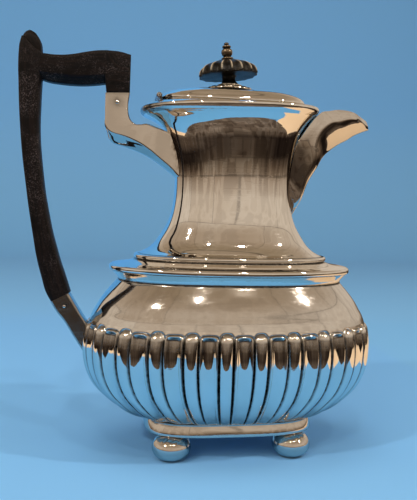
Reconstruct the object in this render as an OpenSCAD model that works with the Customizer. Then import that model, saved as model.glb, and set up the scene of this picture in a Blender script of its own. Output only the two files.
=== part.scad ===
// Half-fluted oblong coffee pot: silver body on four bun feet, waisted neck,
// beak spout, hinged lid with turned finial, angular wooden handle.
// Millimetres, +Z up, spout towards +X. Origin: middle of the overall length
// and width on the plane that the feet stand on.

/* [Heights] */
// Underside of the foot collar
z_collar = 13.6; // [11:0.2:18]
// Bottom of the bowl, where it meets the collar
z_bowl = 20.6; // [18:0.2:26]
// Level of the widest part of the bowl
z_wide = 60.7; // [52:0.1:70]
// Level of the seam above the flute tops
z_seam = 75.7; // [72:0.1:84]
// Narrowest level of the cove below the ledge
z_cove = 97.7; // [93:0.1:101]
// Middle of the edge of the projecting ledge
z_ledge = 105.2; // [103.5:0.1:108]
// Middle of the bead wire at the foot of the neck
z_bead = 111.6; // [110.6:0.1:115]
// Narrowest level of the neck
z_waist = 152.7; // [143:0.1:163]
// Middle of the lip wire round the rim
z_lip = 198.2; // [190:0.1:210]

/* [Half lengths] */
// Half length of the foot collar
a_collar = 48; // [42:0.5:54]
// Half length of the bowl between the lobes
a_bowl = 83.6; // [74:0.2:90]
// Half length at the cove
a_cove = 66.3; // [60:0.1:72]
// Half length at the edge of the ledge
a_ledge = 71.5; // [68:0.5:78]
// Half length at the bead wire
a_bead = 56; // [52:0.5:60]
// Half length at the waist of the neck
a_waist = 34.4; // [31:0.1:38]
// Half length at the lip
a_lip = 52.4; // [49:0.1:57]
// Half length of the mouth under the lid
a_mouth = 41.2; // [38:0.1:42]
// Half length of the lid
a_lid = 42.8; // [42:0.1:45]

// Distance that the lip sits towards the handle; mouth and lid share half
top_back = 2.6; // [0:0.1:4]
// Drop of the lip at the handle end, and its rise at the spout end
lip_tilt = 1.7; // [0:0.1:3]

/* [Plan shape] */
// Width of the body as a part of its length
q_body = 0.64; // [0.58:0.01:0.74]
// Width of the lip as a part of its length
q_lip = 0.6; // [0.56:0.01:0.66]
// Width of the mouth and of the lid as a part of their length
q_mouth = 0.67; // [0.65:0.01:0.68]
// Width of the collar as a part of its length
q_collar = 0.65; // [0.6:0.01:0.72]
// Squareness of the body plan, 2 is an ellipse
n_body = 2.3; // [2:0.1:2.8]
// Squareness of the neck plan
n_neck = 2.6; // [2:0.1:3]
// Squareness of the collar plan
n_collar = 3.4; // [2.6:0.1:4.5]

/* [Fluting] */
// Number of flute and lobe pairs round the bowl
flute_count = 24; // [20:4:28]
// Height of the narrow lobes above the bowl
lobe_h = 2; // [1:0.1:3]
// Depth of the wide flutes below the bowl
flute_d = 0.9; // [0.4:0.1:1.6]

/* [Sheet and wire] */
// Thickness of the bowl, shoulder and neck
wall = 1.3; // [1:0.1:2]
// Thickness of the collar and the plate under it
plate_t = 1.4; // [1:0.1:2.2]
// Radius of the bead wire
bead_r = 1.3; // [0.8:0.1:2]
// Diameter of the strainer holes
strainer_d = 3; // [2:0.1:4]

/* [Feet] */
// Radius of a bun foot
foot_r = 10.9; // [9:0.1:13]
// Distance of the feet from the middle along the length
foot_x = 34.2; // [31:0.2:37]
// Distance of the feet from the middle across the width
foot_y = 23; // [20:0.2:26]

/* [Lid] */
// Height of the lid's dome above its edge
lid_rise = 4.4; // [3:0.2:8]
// Radius of the hinge knuckles
knuckle_r = 1.8; // [1.6:0.1:2.6]
// Radius of the hinge pin
hinge_pin_r = 0.9; // [0.6:0.05:1.1]
// Radial running clearance of the hinge
hinge_fit = 0.05; // [0.02:0.01:0.1]
// Width of the middle knuckle
knuckle_w = 7; // [5:0.5:10]

/* [Finial] */
// Radius of the rosette under the finial
rosette_r = 14; // [11:0.5:16]
// Radius of the finial's brim
finial_r = 17.6; // [14:0.2:20]
// Distance of the finial from the middle of the lid, towards the handle
finial_back = 2; // [0:0.1:4]
// Lean of the finial towards the handle, degrees
finial_lean = 5.5; // [0:0.5:7]
// Height of the wooden finial
finial_h = 16; // [13:0.2:19]
// Radius of the silver knop on top
knop_r = 3.4; // [2.6:0.1:4.5]
// Radius of the screw down through the finial
screw_r = 1.5; // [1.2:0.1:2]

/* [Handle] */
// Distance from the pot's axis to the back of the handle
handle_reach = 125; // [118:0.5:132]
// Thickness of the handle
handle_t = 14; // [11:0.5:17]
// Radius of the pins through the sockets
pin_r = 1.2; // [0.9:0.1:1.8]
// Distance from the pot's axis to the tip of the spout
spout_reach = 84.2; // [82:0.1:89]

/* [Hidden] */
silver = [0.80, 0.79, 0.77];
ebony = [0.08, 0.06, 0.05];
axis_x = (handle_reach - spout_reach) / 2;
smooth_n = 60;
lip_r = 1.9;
z_mouth = z_lip + 4.6;
z_lid = z_mouth + 0.4;
z_dome = z_lid + 2.6 + lid_rise;
lid_x = -0.5 * top_back;
hinge_x = lid_x - a_lid - 1.5;
hinge_z = z_lid + 1.2;
brass_fit = 0.05;

// Polar radius of a superellipse with half axes 1 and q, squareness n
function polar_r(q, n, t) = pow(pow(abs(cos(t)), n) + pow(abs(sin(t)) / q, n), -1 / n);
function rim_pt(q, n, t) = [polar_r(q, n, t) * cos(t), polar_r(q, n, t) * sin(t)];
steps = 720;
arc_raw = [for (i = 0, s = 0; i <= steps;
  s = s + norm(rim_pt(q_body, n_body, (i + 1) * 360 / steps) - rim_pt(q_body, n_body, i * 360 / steps)),
  i = i + 1) s];
arc_table = [for (i = [0:steps]) [arc_raw[i] / arc_raw[steps], i * 360 / steps]];
// Angle at the part u of the way round the body
function arc_t(u) = lookup(u, arc_table);

// One ring: half length a, height z, width ratio q, squareness n, and how far
// it shares the top's shift and tilt, 0 to 1
function ring(a, z, q, n, k, m) = [for (j = [0:m - 1])
  let (t = arc_t(j / m), r = a * polar_r(q, n, t), x = r * cos(t))
  [x - k * top_back, r * sin(t), z + max(0, 2 * k - 1) * lip_tilt * x / a_lip]];
// Rings for a profile list of [a, z, q, n, k]
function rings(p, m) = [for (s = p) ring(s[0], s[1], s[2], s[3], len(s) > 4 ? s[4] : 0, m)];

// Solid through rings of points, stacked upwards, closed by flat ends
module loft(r) {
  m = len(r[0]);
  k = len(r);
  sides = [for (i = [0:k - 2]) for (j = [0:m - 1])
    let (a = i * m + j, b = i * m + (j + 1) % m, c = (i + 1) * m + (j + 1) % m, d = (i + 1) * m + j)
    each [[a, d, c], [a, c, b]]];
  ends = [[for (j = [0:m - 1]) j], [for (j = [m - 1:-1:0]) (k - 1) * m + j]];
  polyhedron(points = [for (q = r) each q], faces = concat(sides, ends), convexity = 8);
}

// Solid swept round a closed section of rings, with no ends
module loft_ring(r) {
  m = len(r[0]);
  k = len(r);
  polyhedron(points = [for (q = r) each q], faces = [for (i = [0:k - 1]) for (j = [0:m - 1])
    let (a = i * m + j, b = i * m + (j + 1) % m, c = ((i + 1) % k) * m + (j + 1) % m, d = ((i + 1) % k) * m + j)
    each [[a, d, c], [a, c, b]]], convexity = 8);
}

// Bowl profile between the lobes: [part of the rise, part of the widening]
bowl_shape = [[0, 0], [0.02, 0.16], [0.065, 0.33], [0.14, 0.47], [0.28, 0.655], [0.43, 0.81],
  [0.63, 0.93], [0.82, 0.985], [1, 1]];
a_bowl0 = a_collar - 1.2;
top_shape = [[0, 1], [0.35, 0.996], [0.62, 0.988], [0.8, 0.981], [0.88, 0.977], [1, 0.972]];
bowl_p = concat(
  [for (s = bowl_shape) [a_bowl0 + s[1] * (a_bowl - a_bowl0), z_bowl + s[0] * (z_wide - z_bowl)]],
  [for (i = [1:len(top_shape) - 1]) [top_shape[i][1] * a_bowl, z_wide + top_shape[i][0] * (z_seam - z_wide)]]);
a_seam = top_shape[len(top_shape) - 1][1] * a_bowl;

// Offset of the fluting at phase v round one pair, wide flute first
wide = 0.57;
phases = [0, 0.09, 0.285, 0.48, 0.57, 0.66, 0.785, 0.91];
relief = [-0.7, 0.5, -flute_d, 0.5, -0.7, 0.6 * lobe_h, lobe_h, 0.6 * lobe_h];
// How much of the relief stands at height z: arched tops, fading foot
function fade(z, k) = let (top = z_seam - 1.6 - [2.6, 0.9, 0, 0.9, 2.6, 0.4, 0, 0.4][k])
  min(1, sqrt(max(0, (top - z) / 3.2))) * min(1, 0.25 + 0.75 * max(0, z - z_bowl) / 9);
function flute_ring(a, z) = [for (i = [0:flute_count - 1]) for (k = [0:7])
  let (t = arc_t(((i + phases[k] - 0.285) / flute_count + 1) % 1),
    r = a * polar_r(q_body, n_body, t) + relief[k] * fade(z, k))
  [r * cos(t), r * sin(t), z]];

module bowl_solid() {
  loft([for (p = bowl_p) flute_ring(p[0], p[1])]);
}

module bowl() {
  color(silver)
    translate([axis_x, 0, 0])
    difference() {
      bowl_solid();
      loft(rings(concat(
        [for (i = [2:len(bowl_p) - 1]) [bowl_p[i][0] - 0.6 - wall, bowl_p[i][1] + (i < 4 ? wall : 0), q_body - 0.006, n_body]],
        [[a_seam - 0.6 - wall, z_seam + 1, q_body - 0.006, n_body]]), smooth_n));
    }
}

// Shoulder: plain sheet from the seam in to the cove and out under the ledge
shoulder_p = [[a_seam, z_seam], [a_seam - 0.2 * (a_seam - a_cove), z_seam + 0.28 * (z_cove - z_seam)],
  [a_seam - 0.38 * (a_seam - a_cove), z_seam + 0.49 * (z_cove - z_seam)],
  [a_seam - 0.65 * (a_seam - a_cove), z_seam + 0.73 * (z_cove - z_seam)],
  [a_seam - 0.88 * (a_seam - a_cove), z_seam + 0.91 * (z_cove - z_seam)],
  [a_cove, z_cove], [a_cove + 0.1, z_cove + 1.6],
  [a_cove + 0.3 * (a_ledge - a_cove), z_cove + 0.6 * (z_ledge - 1.8 - z_cove)],
  [a_cove + 0.75 * (a_ledge - a_cove), z_ledge - 1.8]];

module shoulder_solid() {
  loft(rings([for (s = shoulder_p) [s[0], s[1], q_body, n_body]], smooth_n));
}

module shoulder() {
  color(silver)
    translate([axis_x, 0, 0])
    loft_ring(rings(concat([for (s = shoulder_p) [s[0], s[1], q_body, n_body]],
      [for (i = [len(shoulder_p) - 1:-1:0]) [shoulder_p[i][0] - wall - 0.2, shoulder_p[i][1], q_body, n_body]]),
      smooth_n));
}

// Ledge: rounded edge, then a hollow slope up to the bead
ledge_p = [[a_cove + 0.75 * (a_ledge - a_cove) - 1.6, z_ledge - 1.8], [a_ledge - 1.1, z_ledge - 1.8],
  [a_ledge - 0.2, z_ledge - 1], [a_ledge, z_ledge], [a_ledge - 0.2, z_ledge + 0.9], [a_ledge - 1.2, z_ledge + 1.7],
  [a_bead + 0.55 * (a_ledge - a_bead), z_ledge + 2.2], [a_bead + 0.25 * (a_ledge - a_bead), z_ledge + 3.3],
  [a_bead, z_bead - bead_r], [a_bead - 3.4, z_bead - bead_r], [a_bead - 3.4, z_bead - bead_r - 1.3],
  [a_bead + 0.2 * (a_ledge - a_bead), z_ledge + 1.6], [a_bead + 0.55 * (a_ledge - a_bead), z_ledge + 0.6]];

module ledge_moulding() {
  color(silver)
    translate([axis_x, 0, 0])
    loft_ring(rings([for (s = ledge_p) [s[0], s[1], q_body, n_body]], smooth_n));
}

// Half-round wire section of six sides round the point a, z
module wire(a, z, r, q, n) {
  loft_ring(rings([for (i = [0:5]) [a + r * cos(60 * i - 90), z + r * sin(60 * i - 90), q, n]], smooth_n));
}

module neck_bead() {
  color(silver)
    translate([axis_x, 0, 0])
    loft_ring(rings([[a_bead - 3, z_bead - bead_r, q_body, n_body], [a_bead, z_bead - bead_r, q_body, n_body],
      [a_bead + 0.9 * bead_r, z_bead - 0.6 * bead_r, q_body, n_body], [a_bead + 1.1 * bead_r, z_bead, q_body, n_body],
      [a_bead + 0.9 * bead_r, z_bead + 0.6 * bead_r, q_body, n_body], [a_bead, z_bead + bead_r, q_body, n_body],
      [a_bead - 3, z_bead + bead_r, q_body, n_body]], smooth_n));
}

// Neck: trumpet foot, waist and flaring lip, as [a, z, q, n]
neck_z0 = z_bead + bead_r;
foot_shape = [[0, 1], [0.055, 0.78], [0.14, 0.57], [0.29, 0.36], [0.45, 0.185], [0.6, 0.085], [0.78, 0.025], [1, 0]];
lip_shape = [[0.22, 0.015], [0.42, 0.085], [0.58, 0.19], [0.72, 0.31], [0.83, 0.47], [0.92, 0.7], [1, 1]];
a_neck1 = a_lip - 2.2;
z_neck1 = z_lip - 3.6;
neck_p = concat(
  [for (s = foot_shape) [a_waist + s[1] * (a_bead - 1 - a_waist), neck_z0 + s[0] * (z_waist - neck_z0), q_body,
    n_neck - s[1] * (n_neck - n_body)]],
  [for (s = lip_shape) [a_waist + s[1] * (a_neck1 - a_waist), z_waist + s[0] * (z_neck1 - z_waist),
    q_body + s[1] * (q_lip - q_body), n_neck, s[1]]]);

module neck_solid(off, up) {
  k = len(neck_p) - 1;
  loft(rings(concat(up > 0 ? [[neck_p[0][0] - off, neck_p[0][1] - up, q_body, n_body]] : [],
    [for (s = neck_p) [s[0] - off, s[1], s[2], s[3], len(s) > 4 ? s[4] : 0]],
    up > 0 ? [[neck_p[k][0] - off + 0.1, neck_p[k][1] + up, neck_p[k][2], neck_p[k][3], 1]] : []), smooth_n));
}

// Middles of the strainer holes: [across, height]
strainer_z = z_waist + 0.5 * (z_lip - z_waist);
holes = [for (r = [-2:2]) for (c = (r % 2 == 0 ? [-1, 0, 1] : [-0.5, 0.5]))
  [c * 1.5 * strainer_d, strainer_z + r * 1.4 * strainer_d]];

module neck() {
  color(silver)
    translate([axis_x, 0, 0])
    difference() {
      neck_solid(0, 0);
      neck_solid(wall + 0.1, 1);
      for (h = holes)
        translate([a_waist - 6, h[0], h[1]])
          rotate([0, 90, 0])
          cylinder(r = strainer_d / 2, h = 18, $fn = 20);
    }
}

// Rim: round lip wire, sloping top and the seat round the mouth
rim_p = [[a_neck1 - 1.5, z_neck1, q_lip, 1], [a_neck1, z_neck1, q_lip, 1], [a_lip + 0.4, z_lip - 1.8, q_lip, 1],
  [a_lip + 0.9, z_lip, q_lip, 1], [a_lip + 0.4, z_lip + 1.3, q_lip, 1], [a_lip - 0.8, z_lip + 1.8, q_lip, 1],
  [a_mouth + 3, z_mouth - 0.9, q_mouth - 0.01, 0.5], [a_mouth + 1.2, z_mouth, q_mouth, 0.5],
  [a_mouth, z_mouth, q_mouth, 0.5], [a_mouth, z_mouth - 1.6, q_mouth, 0.5],
  [a_mouth + 3, z_mouth - 2.3, q_mouth - 0.02, 0.5], [a_lip - 2.2, z_lip, q_lip, 1]];
function rim_ring(s) = ring(s[0], s[1], s[2], n_neck, s[3], smooth_n);
rim_rings = [for (s = rim_p) rim_ring(s)];
// Outside of the lip, carried straight up, to cut what meets it
lip_cut = concat([for (i = [1:5]) rim_ring(rim_p[i])], [rim_ring([rim_p[5][0], z_lip + 12, q_lip, 1])]);

module rim_moulding() {
  color(silver)
    translate([axis_x, 0, 0])
    difference() {
      loft_ring(rim_rings);
      translate([hinge_x, 0, hinge_z])
        rotate([90, 0, 0])
        cylinder(r = knuckle_r + 0.35, h = 3 * knuckle_w + 1.6, center = true, $fn = 32);
    }
}

// Spout stations: keel x, z, edge x, z, half width at the edge
spout_s = [[a_waist - 1, z_waist - 18, a_waist - 1.5, z_waist - 16, 1.2],
  [a_waist + 3.5, z_waist - 18, a_waist - 1.5, z_waist - 10, 5],
  [a_waist + 6.5, z_waist - 6.7, a_waist - 1.5, z_waist + 2, 8.5],
  [a_waist + 10.5, z_waist + 4.5, a_waist - 1, z_waist + 13, 10.5],
  [a_waist + 16.2, z_waist + 13.8, a_waist + 1, z_waist + 23, 11.8],
  [a_waist + 23.2, z_waist + 22.9, a_waist + 5, z_waist + 32.5, 12.6],
  [a_waist + 28, z_waist + 26.2, a_waist + 11, z_waist + 41, 12.8],
  [a_waist + 32, z_waist + 28.6, a_lip - 2, z_lip + 0.6, 12.6],
  [a_waist + 36.3, z_waist + 31.6, a_lip + 3, z_lip + 1.8, 12],
  [a_waist + 40.8, z_waist + 34.6, a_lip + 10, z_lip + 3, 10.8],
  [spout_reach - 5.4, z_lip - 8.6, a_lip + 17.5, z_lip + 2.6, 9],
  [spout_reach - 2, z_lip - 7.4, a_lip + 23.6, z_lip + 0.8, 7],
  [spout_reach, z_lip - 6.2, spout_reach - 3.2, z_lip - 1.4, 5]];
// Outer half of a section: from the edge down the side and under the keel
function gut(s, off) = [for (v = [0:6])
  let (t = v * 30, w = max(0.3, s[4] - off), c = cos(t), d = pow(abs(sin(t)), 0.62), k = max(0.05, 1 - off / max(2, norm([s[0] - s[2], s[1] - s[3]]))))
  [s[2] + (s[0] - s[2]) * d * k, -w * sign(c) * pow(abs(c), 0.75), s[3] + (s[1] - s[3]) * d * k]];

module spout_solid() {
  r = [for (s = spout_s) concat(gut(s, 0), [for (v = [6:-1:0]) gut(s, 1.4)[v]])];
  m = 14;
  k = len(r);
  polyhedron(points = [for (q = r) each q], convexity = 8,
    faces = concat([for (i = [0:k - 2]) for (j = [0:m - 1])
      let (a = i * m + j, b = i * m + (j + 1) % m, c = (i + 1) * m + (j + 1) % m, d = (i + 1) * m + j)
      each [[a, d, c], [a, c, b]]],
      [for (j = [0:5]) each [[j, j + 1, 13 - j], [j + 1, 12 - j, 13 - j]]],
      [for (j = [0:5]) let (o = (k - 1) * m) each [[o + j + 1, o + j, o + 13 - j], [o + j + 1, o + 13 - j, o + 12 - j]]]));
}

module spout() {
  color(silver)
    translate([axis_x, 0, 0])
    difference() {
      spout_solid();
      neck_solid(0, 0);
      loft(lip_cut);
    }
}

module foot_collar() {
  color(silver)
    translate([axis_x, 0, 0])
    loft_ring(rings([[a_collar + 0.9, z_collar, q_collar, n_collar], [a_collar + 0.9, z_collar + 0.9, q_collar, n_collar],
      [a_collar, z_collar + 1.3, q_collar, n_collar], [a_collar, z_bowl - 0.9, q_collar, n_collar],
      [a_collar + 0.3, z_bowl - 0.5, q_collar, n_collar], [a_collar + 0.3, z_bowl, q_collar, n_collar],
      [a_collar - plate_t, z_bowl, q_collar, n_collar], [a_collar - plate_t, z_collar, q_collar, n_collar]], smooth_n));
}

// Plate inside the collar that carries the feet
module foot_plate() {
  color(silver)
    translate([axis_x, 0, 0])
    loft(rings([[a_collar - plate_t, z_collar + 0.2, q_collar, n_collar],
      [a_collar - plate_t, z_collar + 0.2 + plate_t, q_collar, n_collar]], smooth_n));
}

// Bun foot: flattened ball with a pad below and a short stem above
module bun(x, y) {
  h = z_collar + 0.2;
  c = 6.9;
  color(silver)
    translate([axis_x + x, y, 0])
    rotate_extrude($fn = 48)
    polygon(concat([[0, 0], [3.2, 0]],
      [for (t = [-66:12:66]) [foot_r * pow(cos(t), 0.8), c + c * sin(t) / sin(72)]],
      [[2.6, h - 0.2], [2.6, h], [0, h]]));
}

module foot_front_left() {
  bun(-foot_x, -foot_y);
}

module foot_front_right() {
  bun(foot_x, -foot_y);
}

module foot_back_left() {
  bun(-foot_x, foot_y);
}

module foot_back_right() {
  bun(foot_x, foot_y);
}

// Handle positions follow the pot's height and the handle's reach
function hx(x) = x * handle_reach / 125;
function hz(z) = z_wide + (z - 62) * (z_lip - z_wide) / 137;

// Solid through stations [outer x, z, inner x, z, half thickness, bevel depth]
module strap(s) {
  loft([for (p = s)
    let (ox = hx(p[0]), oz = hz(p[1]), ix = hx(p[2]), iz = hz(p[3]), w = p[4], e = p[5],
      l = norm([ix - ox, iz - oz]), ux = (ix - ox) / l, uz = (iz - oz) / l)
    [[ox, w - 1.2, oz], [ox, -w + 1.2, oz], [ox + ux, -w, oz + uz], [ix, -w, iz],
      [ix + ux * e, -0.45 * w, iz + uz * e], [ix + ux * e, 0.45 * w, iz + uz * e], [ix, w, iz],
      [ox + ux, w, oz + uz]]]);
}
ht = handle_t / 2;
grip_s = [[-103.6, 85.9, -93.6, 90.8, ht - 0.6, 0.8], [-106.5, 91.3, -96.5, 99, ht - 0.4, 1],
  [-109, 99.6, -99.6, 107.5, ht - 0.2, 1.1], [-111.8, 109.7, -102.2, 115.5, ht, 1.2],
  [-114.7, 125, -105.1, 125.3, ht, 1.3], [-117.2, 139.3, -107.8, 137.6, ht, 1.4],
  [-119.3, 153.5, -110.3, 150.9, ht, 1.5], [-121, 165, -112.3, 165.3, ht, 1.5],
  [-122.8, 181.9, -113.8, 182.3, ht, 1.5], [-123.9, 196, -113.8, 196.5, ht, 1.5],
  [-124.6, 210.1, -113.5, 209.1, ht, 1.5], [-125, 219, -113.2, 219, ht, 1],
  [-124.8, 227, -114.2, 226, ht, 0.4], [-124.2, 233.4, -113.9, 230.4, ht - 0.5, 0.4],
  [-122.2, 238.2, -113.7, 233, ht - 1.5, 0.3], [-119.2, 239.8, -114.4, 236.6, ht - 3, 0.2]];
bar_s = [[-119, 226.4, -119, 215.8, ht - 0.3, 3], [-110.3, 226.1, -109.6, 214.5, ht, 4],
  [-103.5, 225.8, -102.2, 214.1, ht, 4.4], [-95.6, 226.6, -94.6, 214, ht, 4.5],
  [-88.3, 228.3, -87.8, 214.2, ht, 4.5], [-81.8, 229.6, -81.6, 214.8, ht, 4.4],
  [-76.2, 230.1, -76.2, 215.3, ht, 4.2], [-68, 229.7, -68, 215.4, ht, 1],
  [-61.3, 228.3, -61.6, 215.4, ht - 0.4, 0.6]];
tenon_x0 = -73.4;
tenon_x1 = -65;
tenon_w = 4.2;

// Peg of the lower end of the handle, held in the lower socket
module lower_peg(g) {
  translate([hx(-98.6), 0, hz(88.3)])
    rotate([0, -34.3, 0])
    translate([-3.1 - g, -3.6 - g, -12 - g])
    cube([6.2 + 2 * g, 7.2 + 2 * g, 15 + g]);
}

module upper_peg(g) {
  translate([hx(tenon_x0) - g, -tenon_w - g, hz(194) - g])
    cube([hx(tenon_x1) - hx(tenon_x0) + 2 * g, 2 * (tenon_w + g), hz(208) - hz(194) + 2 * g]);
}

module pin_bore(x, z, r, l) {
  translate([x, 0, z])
    rotate([90, 0, 0])
    cylinder(r = r, h = l, center = true, $fn = 32);
}
upper_pin = [hx(-69.2), hz(200.4)];
lower_pin = [hx(-95.8), hz(83.4)];

module handle() {
  color(ebony)
    translate([axis_x, 0, 0])
    difference() {
      union() {
        strap(grip_s);
        strap(bar_s);
        translate([0, ht - 0.4, 0])
          rotate([90, 0, 0])
          linear_extrude(height = 2 * (ht - 0.4))
          polygon([[hx(-76.2), hz(217)], [hx(-76.1), hz(205.3)], [hx(-62.2), hz(206)], [hx(-61.5), hz(217)]]);
        upper_peg(0);
        lower_peg(0);
      }
      pin_bore(upper_pin[0], upper_pin[1], pin_r, 30);
      pin_bore(lower_pin[0], lower_pin[1], pin_r, 30);
    }
}

// Bracket stations: upper edge x, z, lower edge x, z, half thickness, keel dx, dz
upper_s = [[-62.2, 206, -76.1, 205.3, 7, -0.2, 0], [-63, 197.1, -76.1, 197, 7, -0.2, 0],
  [-62.5, 193.5, -76, 191.5, 7, -0.2, -0.3], [-61, 190.1, -75.8, 186.3, 7, 0.8, -2.5],
  [-58.2, 188.3, -72.1, 182.8, 7.1, 0.8, -5.4], [-55.8, 188.3, -65, 180.9, 7.4, 1.2, -5.6],
  [-52.3, 188.8, -57.3, 177.7, 7.8, 1.8, -5.3], [-47, 187.2, -50.9, 173.8, 8.3, 2.2, -4.8],
  [-39, 184, -44.9, 169.1, 8.8, 2.4, -4.2], [-31, 180, -37.6, 163.1, 9.2, 2.2, -3.6],
  [-27, 177, -33, 158.5, 9.4, 2, -3]];

module upper_socket() {
  color(silver)
    translate([axis_x, 0, 0])
    difference() {
      mirror([0, 0, 1])
        loft([for (p = upper_s)
          let (ox = hx(p[0]), oz = hz(p[1]), ix = hx(p[2]), iz = hz(p[3]), w = p[4],
            l = norm([ix - ox, iz - oz]), ux = (ix - ox) / l, uz = (iz - oz) / l)
          [[ox, w - 1, -oz], [ox + ux, w, -oz - uz], [ix, w, -iz],
            [ix + p[5], 0.3 * w, -iz - p[6]], [ix + p[5], -0.3 * w, -iz - p[6]], [ix, -w, -iz],
            [ox + ux, -w, -oz - uz], [ox, -w + 1, -oz]]]);
      upper_peg(brass_fit);
      pin_bore(upper_pin[0], upper_pin[1], pin_r, 30);
      neck_solid(0, 0);
      loft(lip_cut);
    }
}

lower_s = [[-103.6, 85.9, -93.6, 90.8, ht - 0.6, 0.8], [-100, 80, -91.5, 87.3, ht - 0.8, 0.6],
  [-96.1, 75.2, -89.3, 83.6, ht - 1.1, 0.5], [-89, 64, -83.4, 74.5, ht - 2, 0.4],
  [-82.5, 54, -77, 66, ht - 3, 0.3], [-78, 46, -70, 60, ht - 3.6, 0.3]];

module lower_socket() {
  color(silver)
    translate([axis_x, 0, 0])
    difference() {
      mirror([0, 0, 1])
        loft([for (p = lower_s)
          let (ox = hx(p[0]), oz = hz(p[1]), ix = hx(p[2]), iz = hz(p[3]), w = p[4])
          [[ox, -w + 1.2, -oz], [ix, -w, -iz], [ix, w, -iz], [ox, w - 1.2, -oz]]]);
      lower_peg(brass_fit);
      pin_bore(lower_pin[0], lower_pin[1], pin_r, 30);
      bowl_solid();
      shoulder_solid();
    }
}

module upper_handle_pin() {
  color(silver)
    translate([axis_x, 0, 0])
    pin_bore(upper_pin[0], upper_pin[1], pin_r, 14.6);
}

module lower_handle_pin() {
  color(silver)
    translate([axis_x, 0, 0])
    pin_bore(lower_pin[0], lower_pin[1], pin_r, 2 * ht - 1);
}

// Hinge barrel of radius knuckle_r between y0 and y1, bored for the pin
module knuckle(y0, y1) {
  difference() {
    translate([hinge_x, y1, hinge_z])
      rotate([90, 0, 0])
      cylinder(r = knuckle_r, h = y1 - y0, $fn = 32);
    pin_bore(hinge_x, hinge_z, hinge_pin_r + hinge_fit, 60);
  }
}
kw = knuckle_w / 2;

module hinge_pot_knuckles() {
  color(silver)
    translate([axis_x, 0, 0])
    for (s = [-1, 1])
      difference() {
        union() {
          knuckle(s > 0 ? kw + 0.3 : -kw - 0.3 - knuckle_w, s > 0 ? kw + 0.3 + knuckle_w : -kw - 0.3);
          translate([hinge_x - 4.4, s > 0 ? kw + 0.3 : -kw - 0.3 - knuckle_w, z_mouth - 1.9])
            cube([4.4, knuckle_w, hinge_z - z_mouth + 1.4]);
        }
        pin_bore(hinge_x, hinge_z, hinge_pin_r + hinge_fit, 60);
        loft_ring(rim_rings);
        loft([rim_ring([a_lip - 3, z_lip - 2, q_lip, 1]), rim_ring([a_mouth + 3, z_mouth - 2.2, q_mouth - 0.02, 0.5])]);
      }
}

module hinge_pin() {
  color(silver)
    translate([axis_x, 0, 0])
    pin_bore(hinge_x, hinge_z, hinge_pin_r, 3 * knuckle_w + 0.6);
}

// Lid: moulded edge and low dome, [a, z]
lid_q = q_mouth;
lid_p = [[a_lid - 1.2, z_lid], [a_lid - 0.2, z_lid + 0.2], [a_lid, z_lid + 1.1], [a_lid - 0.4, z_lid + 2.1],
  [a_lid - 1.8, z_lid + 2.8], [a_lid - 5, z_lid + 2.6 + lid_rise * 0.35], [a_lid * 0.74, z_lid + 2.6 + lid_rise * 0.62],
  [a_lid * 0.5, z_lid + 2.6 + lid_rise * 0.84], [a_lid * 0.3, z_lid + 2.6 + lid_rise * 0.97]];
lid_flat = 8;

function lid_rings(p) = [for (s = p) [for (q = ring(s[0], s[1], s[2], s[3], 0, smooth_n)) [q[0] + lid_x, q[1], q[2]]]];

// What stands on the lid leans with the finial
module leaning() {
  translate([axis_x + lid_x - finial_back, 0, z_dome])
    rotate([0, -finial_lean, 0])
    translate([0, 0, -z_dome])
    children();
}

module lid() {
  color(silver)
    difference() {
      translate([axis_x, 0, 0])
        loft(lid_rings(concat([for (s = lid_p) [s[0], s[1], lid_q, n_neck]],
          [[lid_flat + 1.4, z_dome, lid_q + 0.25, 2]])));
      translate([axis_x, 0, 0])
        loft(lid_rings(concat([[a_mouth - 1.4, z_lid - 1, lid_q, n_neck], [a_mouth - 1.4, z_lid + 0.8, lid_q, n_neck]],
          [for (i = [5:8]) [lid_p[i][0] - 2, lid_p[i][1] - 1.5, lid_q, n_neck]],
          [[lid_flat, z_dome - 1.5, lid_q + 0.25, 2]])));
      translate([axis_x + lid_x - finial_back, 0, z_dome])
        cylinder(r = 5.7, h = 3, $fn = 48);
      leaning() {
        translate([0, 0, z_dome - 5])
          cylinder(r = screw_r, h = 10, $fn = 24);
        translate([0, 0, z_under - 3])
          cylinder(r = 4.7, h = 3, $fn = 48);
      }
      translate([axis_x, 0, 0])
        pin_bore(hinge_x, hinge_z, knuckle_r + 0.3, 3 * knuckle_w + 1.6);
    }
}

// Band below the lid that drops inside the mouth
module lid_bezel() {
  color(silver)
    translate([axis_x, 0, 0])
    loft_ring(lid_rings([[a_mouth - 0.9, z_lid - 3, lid_q - 0.006, n_neck], [a_mouth - 0.9, z_lid - 0.03, lid_q - 0.006, n_neck],
      [a_mouth - 0.1, z_lid - 0.03, lid_q, n_neck], [a_mouth - 0.1, z_lid - 0.01, lid_q, n_neck],
      [a_mouth - 1.4, z_lid - 0.01, lid_q, n_neck], [a_mouth - 1.4, z_lid + 0.8, lid_q, n_neck],
      [a_mouth - 2.2, z_lid + 0.8, lid_q, n_neck], [a_mouth - 2.2, z_lid - 3, lid_q, n_neck]]));
}

module hinge_lid_knuckle() {
  color(silver)
    translate([axis_x, 0, 0])
    difference() {
      union() {
        knuckle(-kw, kw);
        translate([hinge_x, -kw, hinge_z - 0.7])
          cube([3.4, knuckle_w, 1.4]);
      }
      pin_bore(hinge_x, hinge_z, hinge_pin_r + hinge_fit, 60);
      loft(lid_rings([for (s = lid_p) [s[0], s[1], lid_q, n_neck]]));
    }
}

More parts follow.
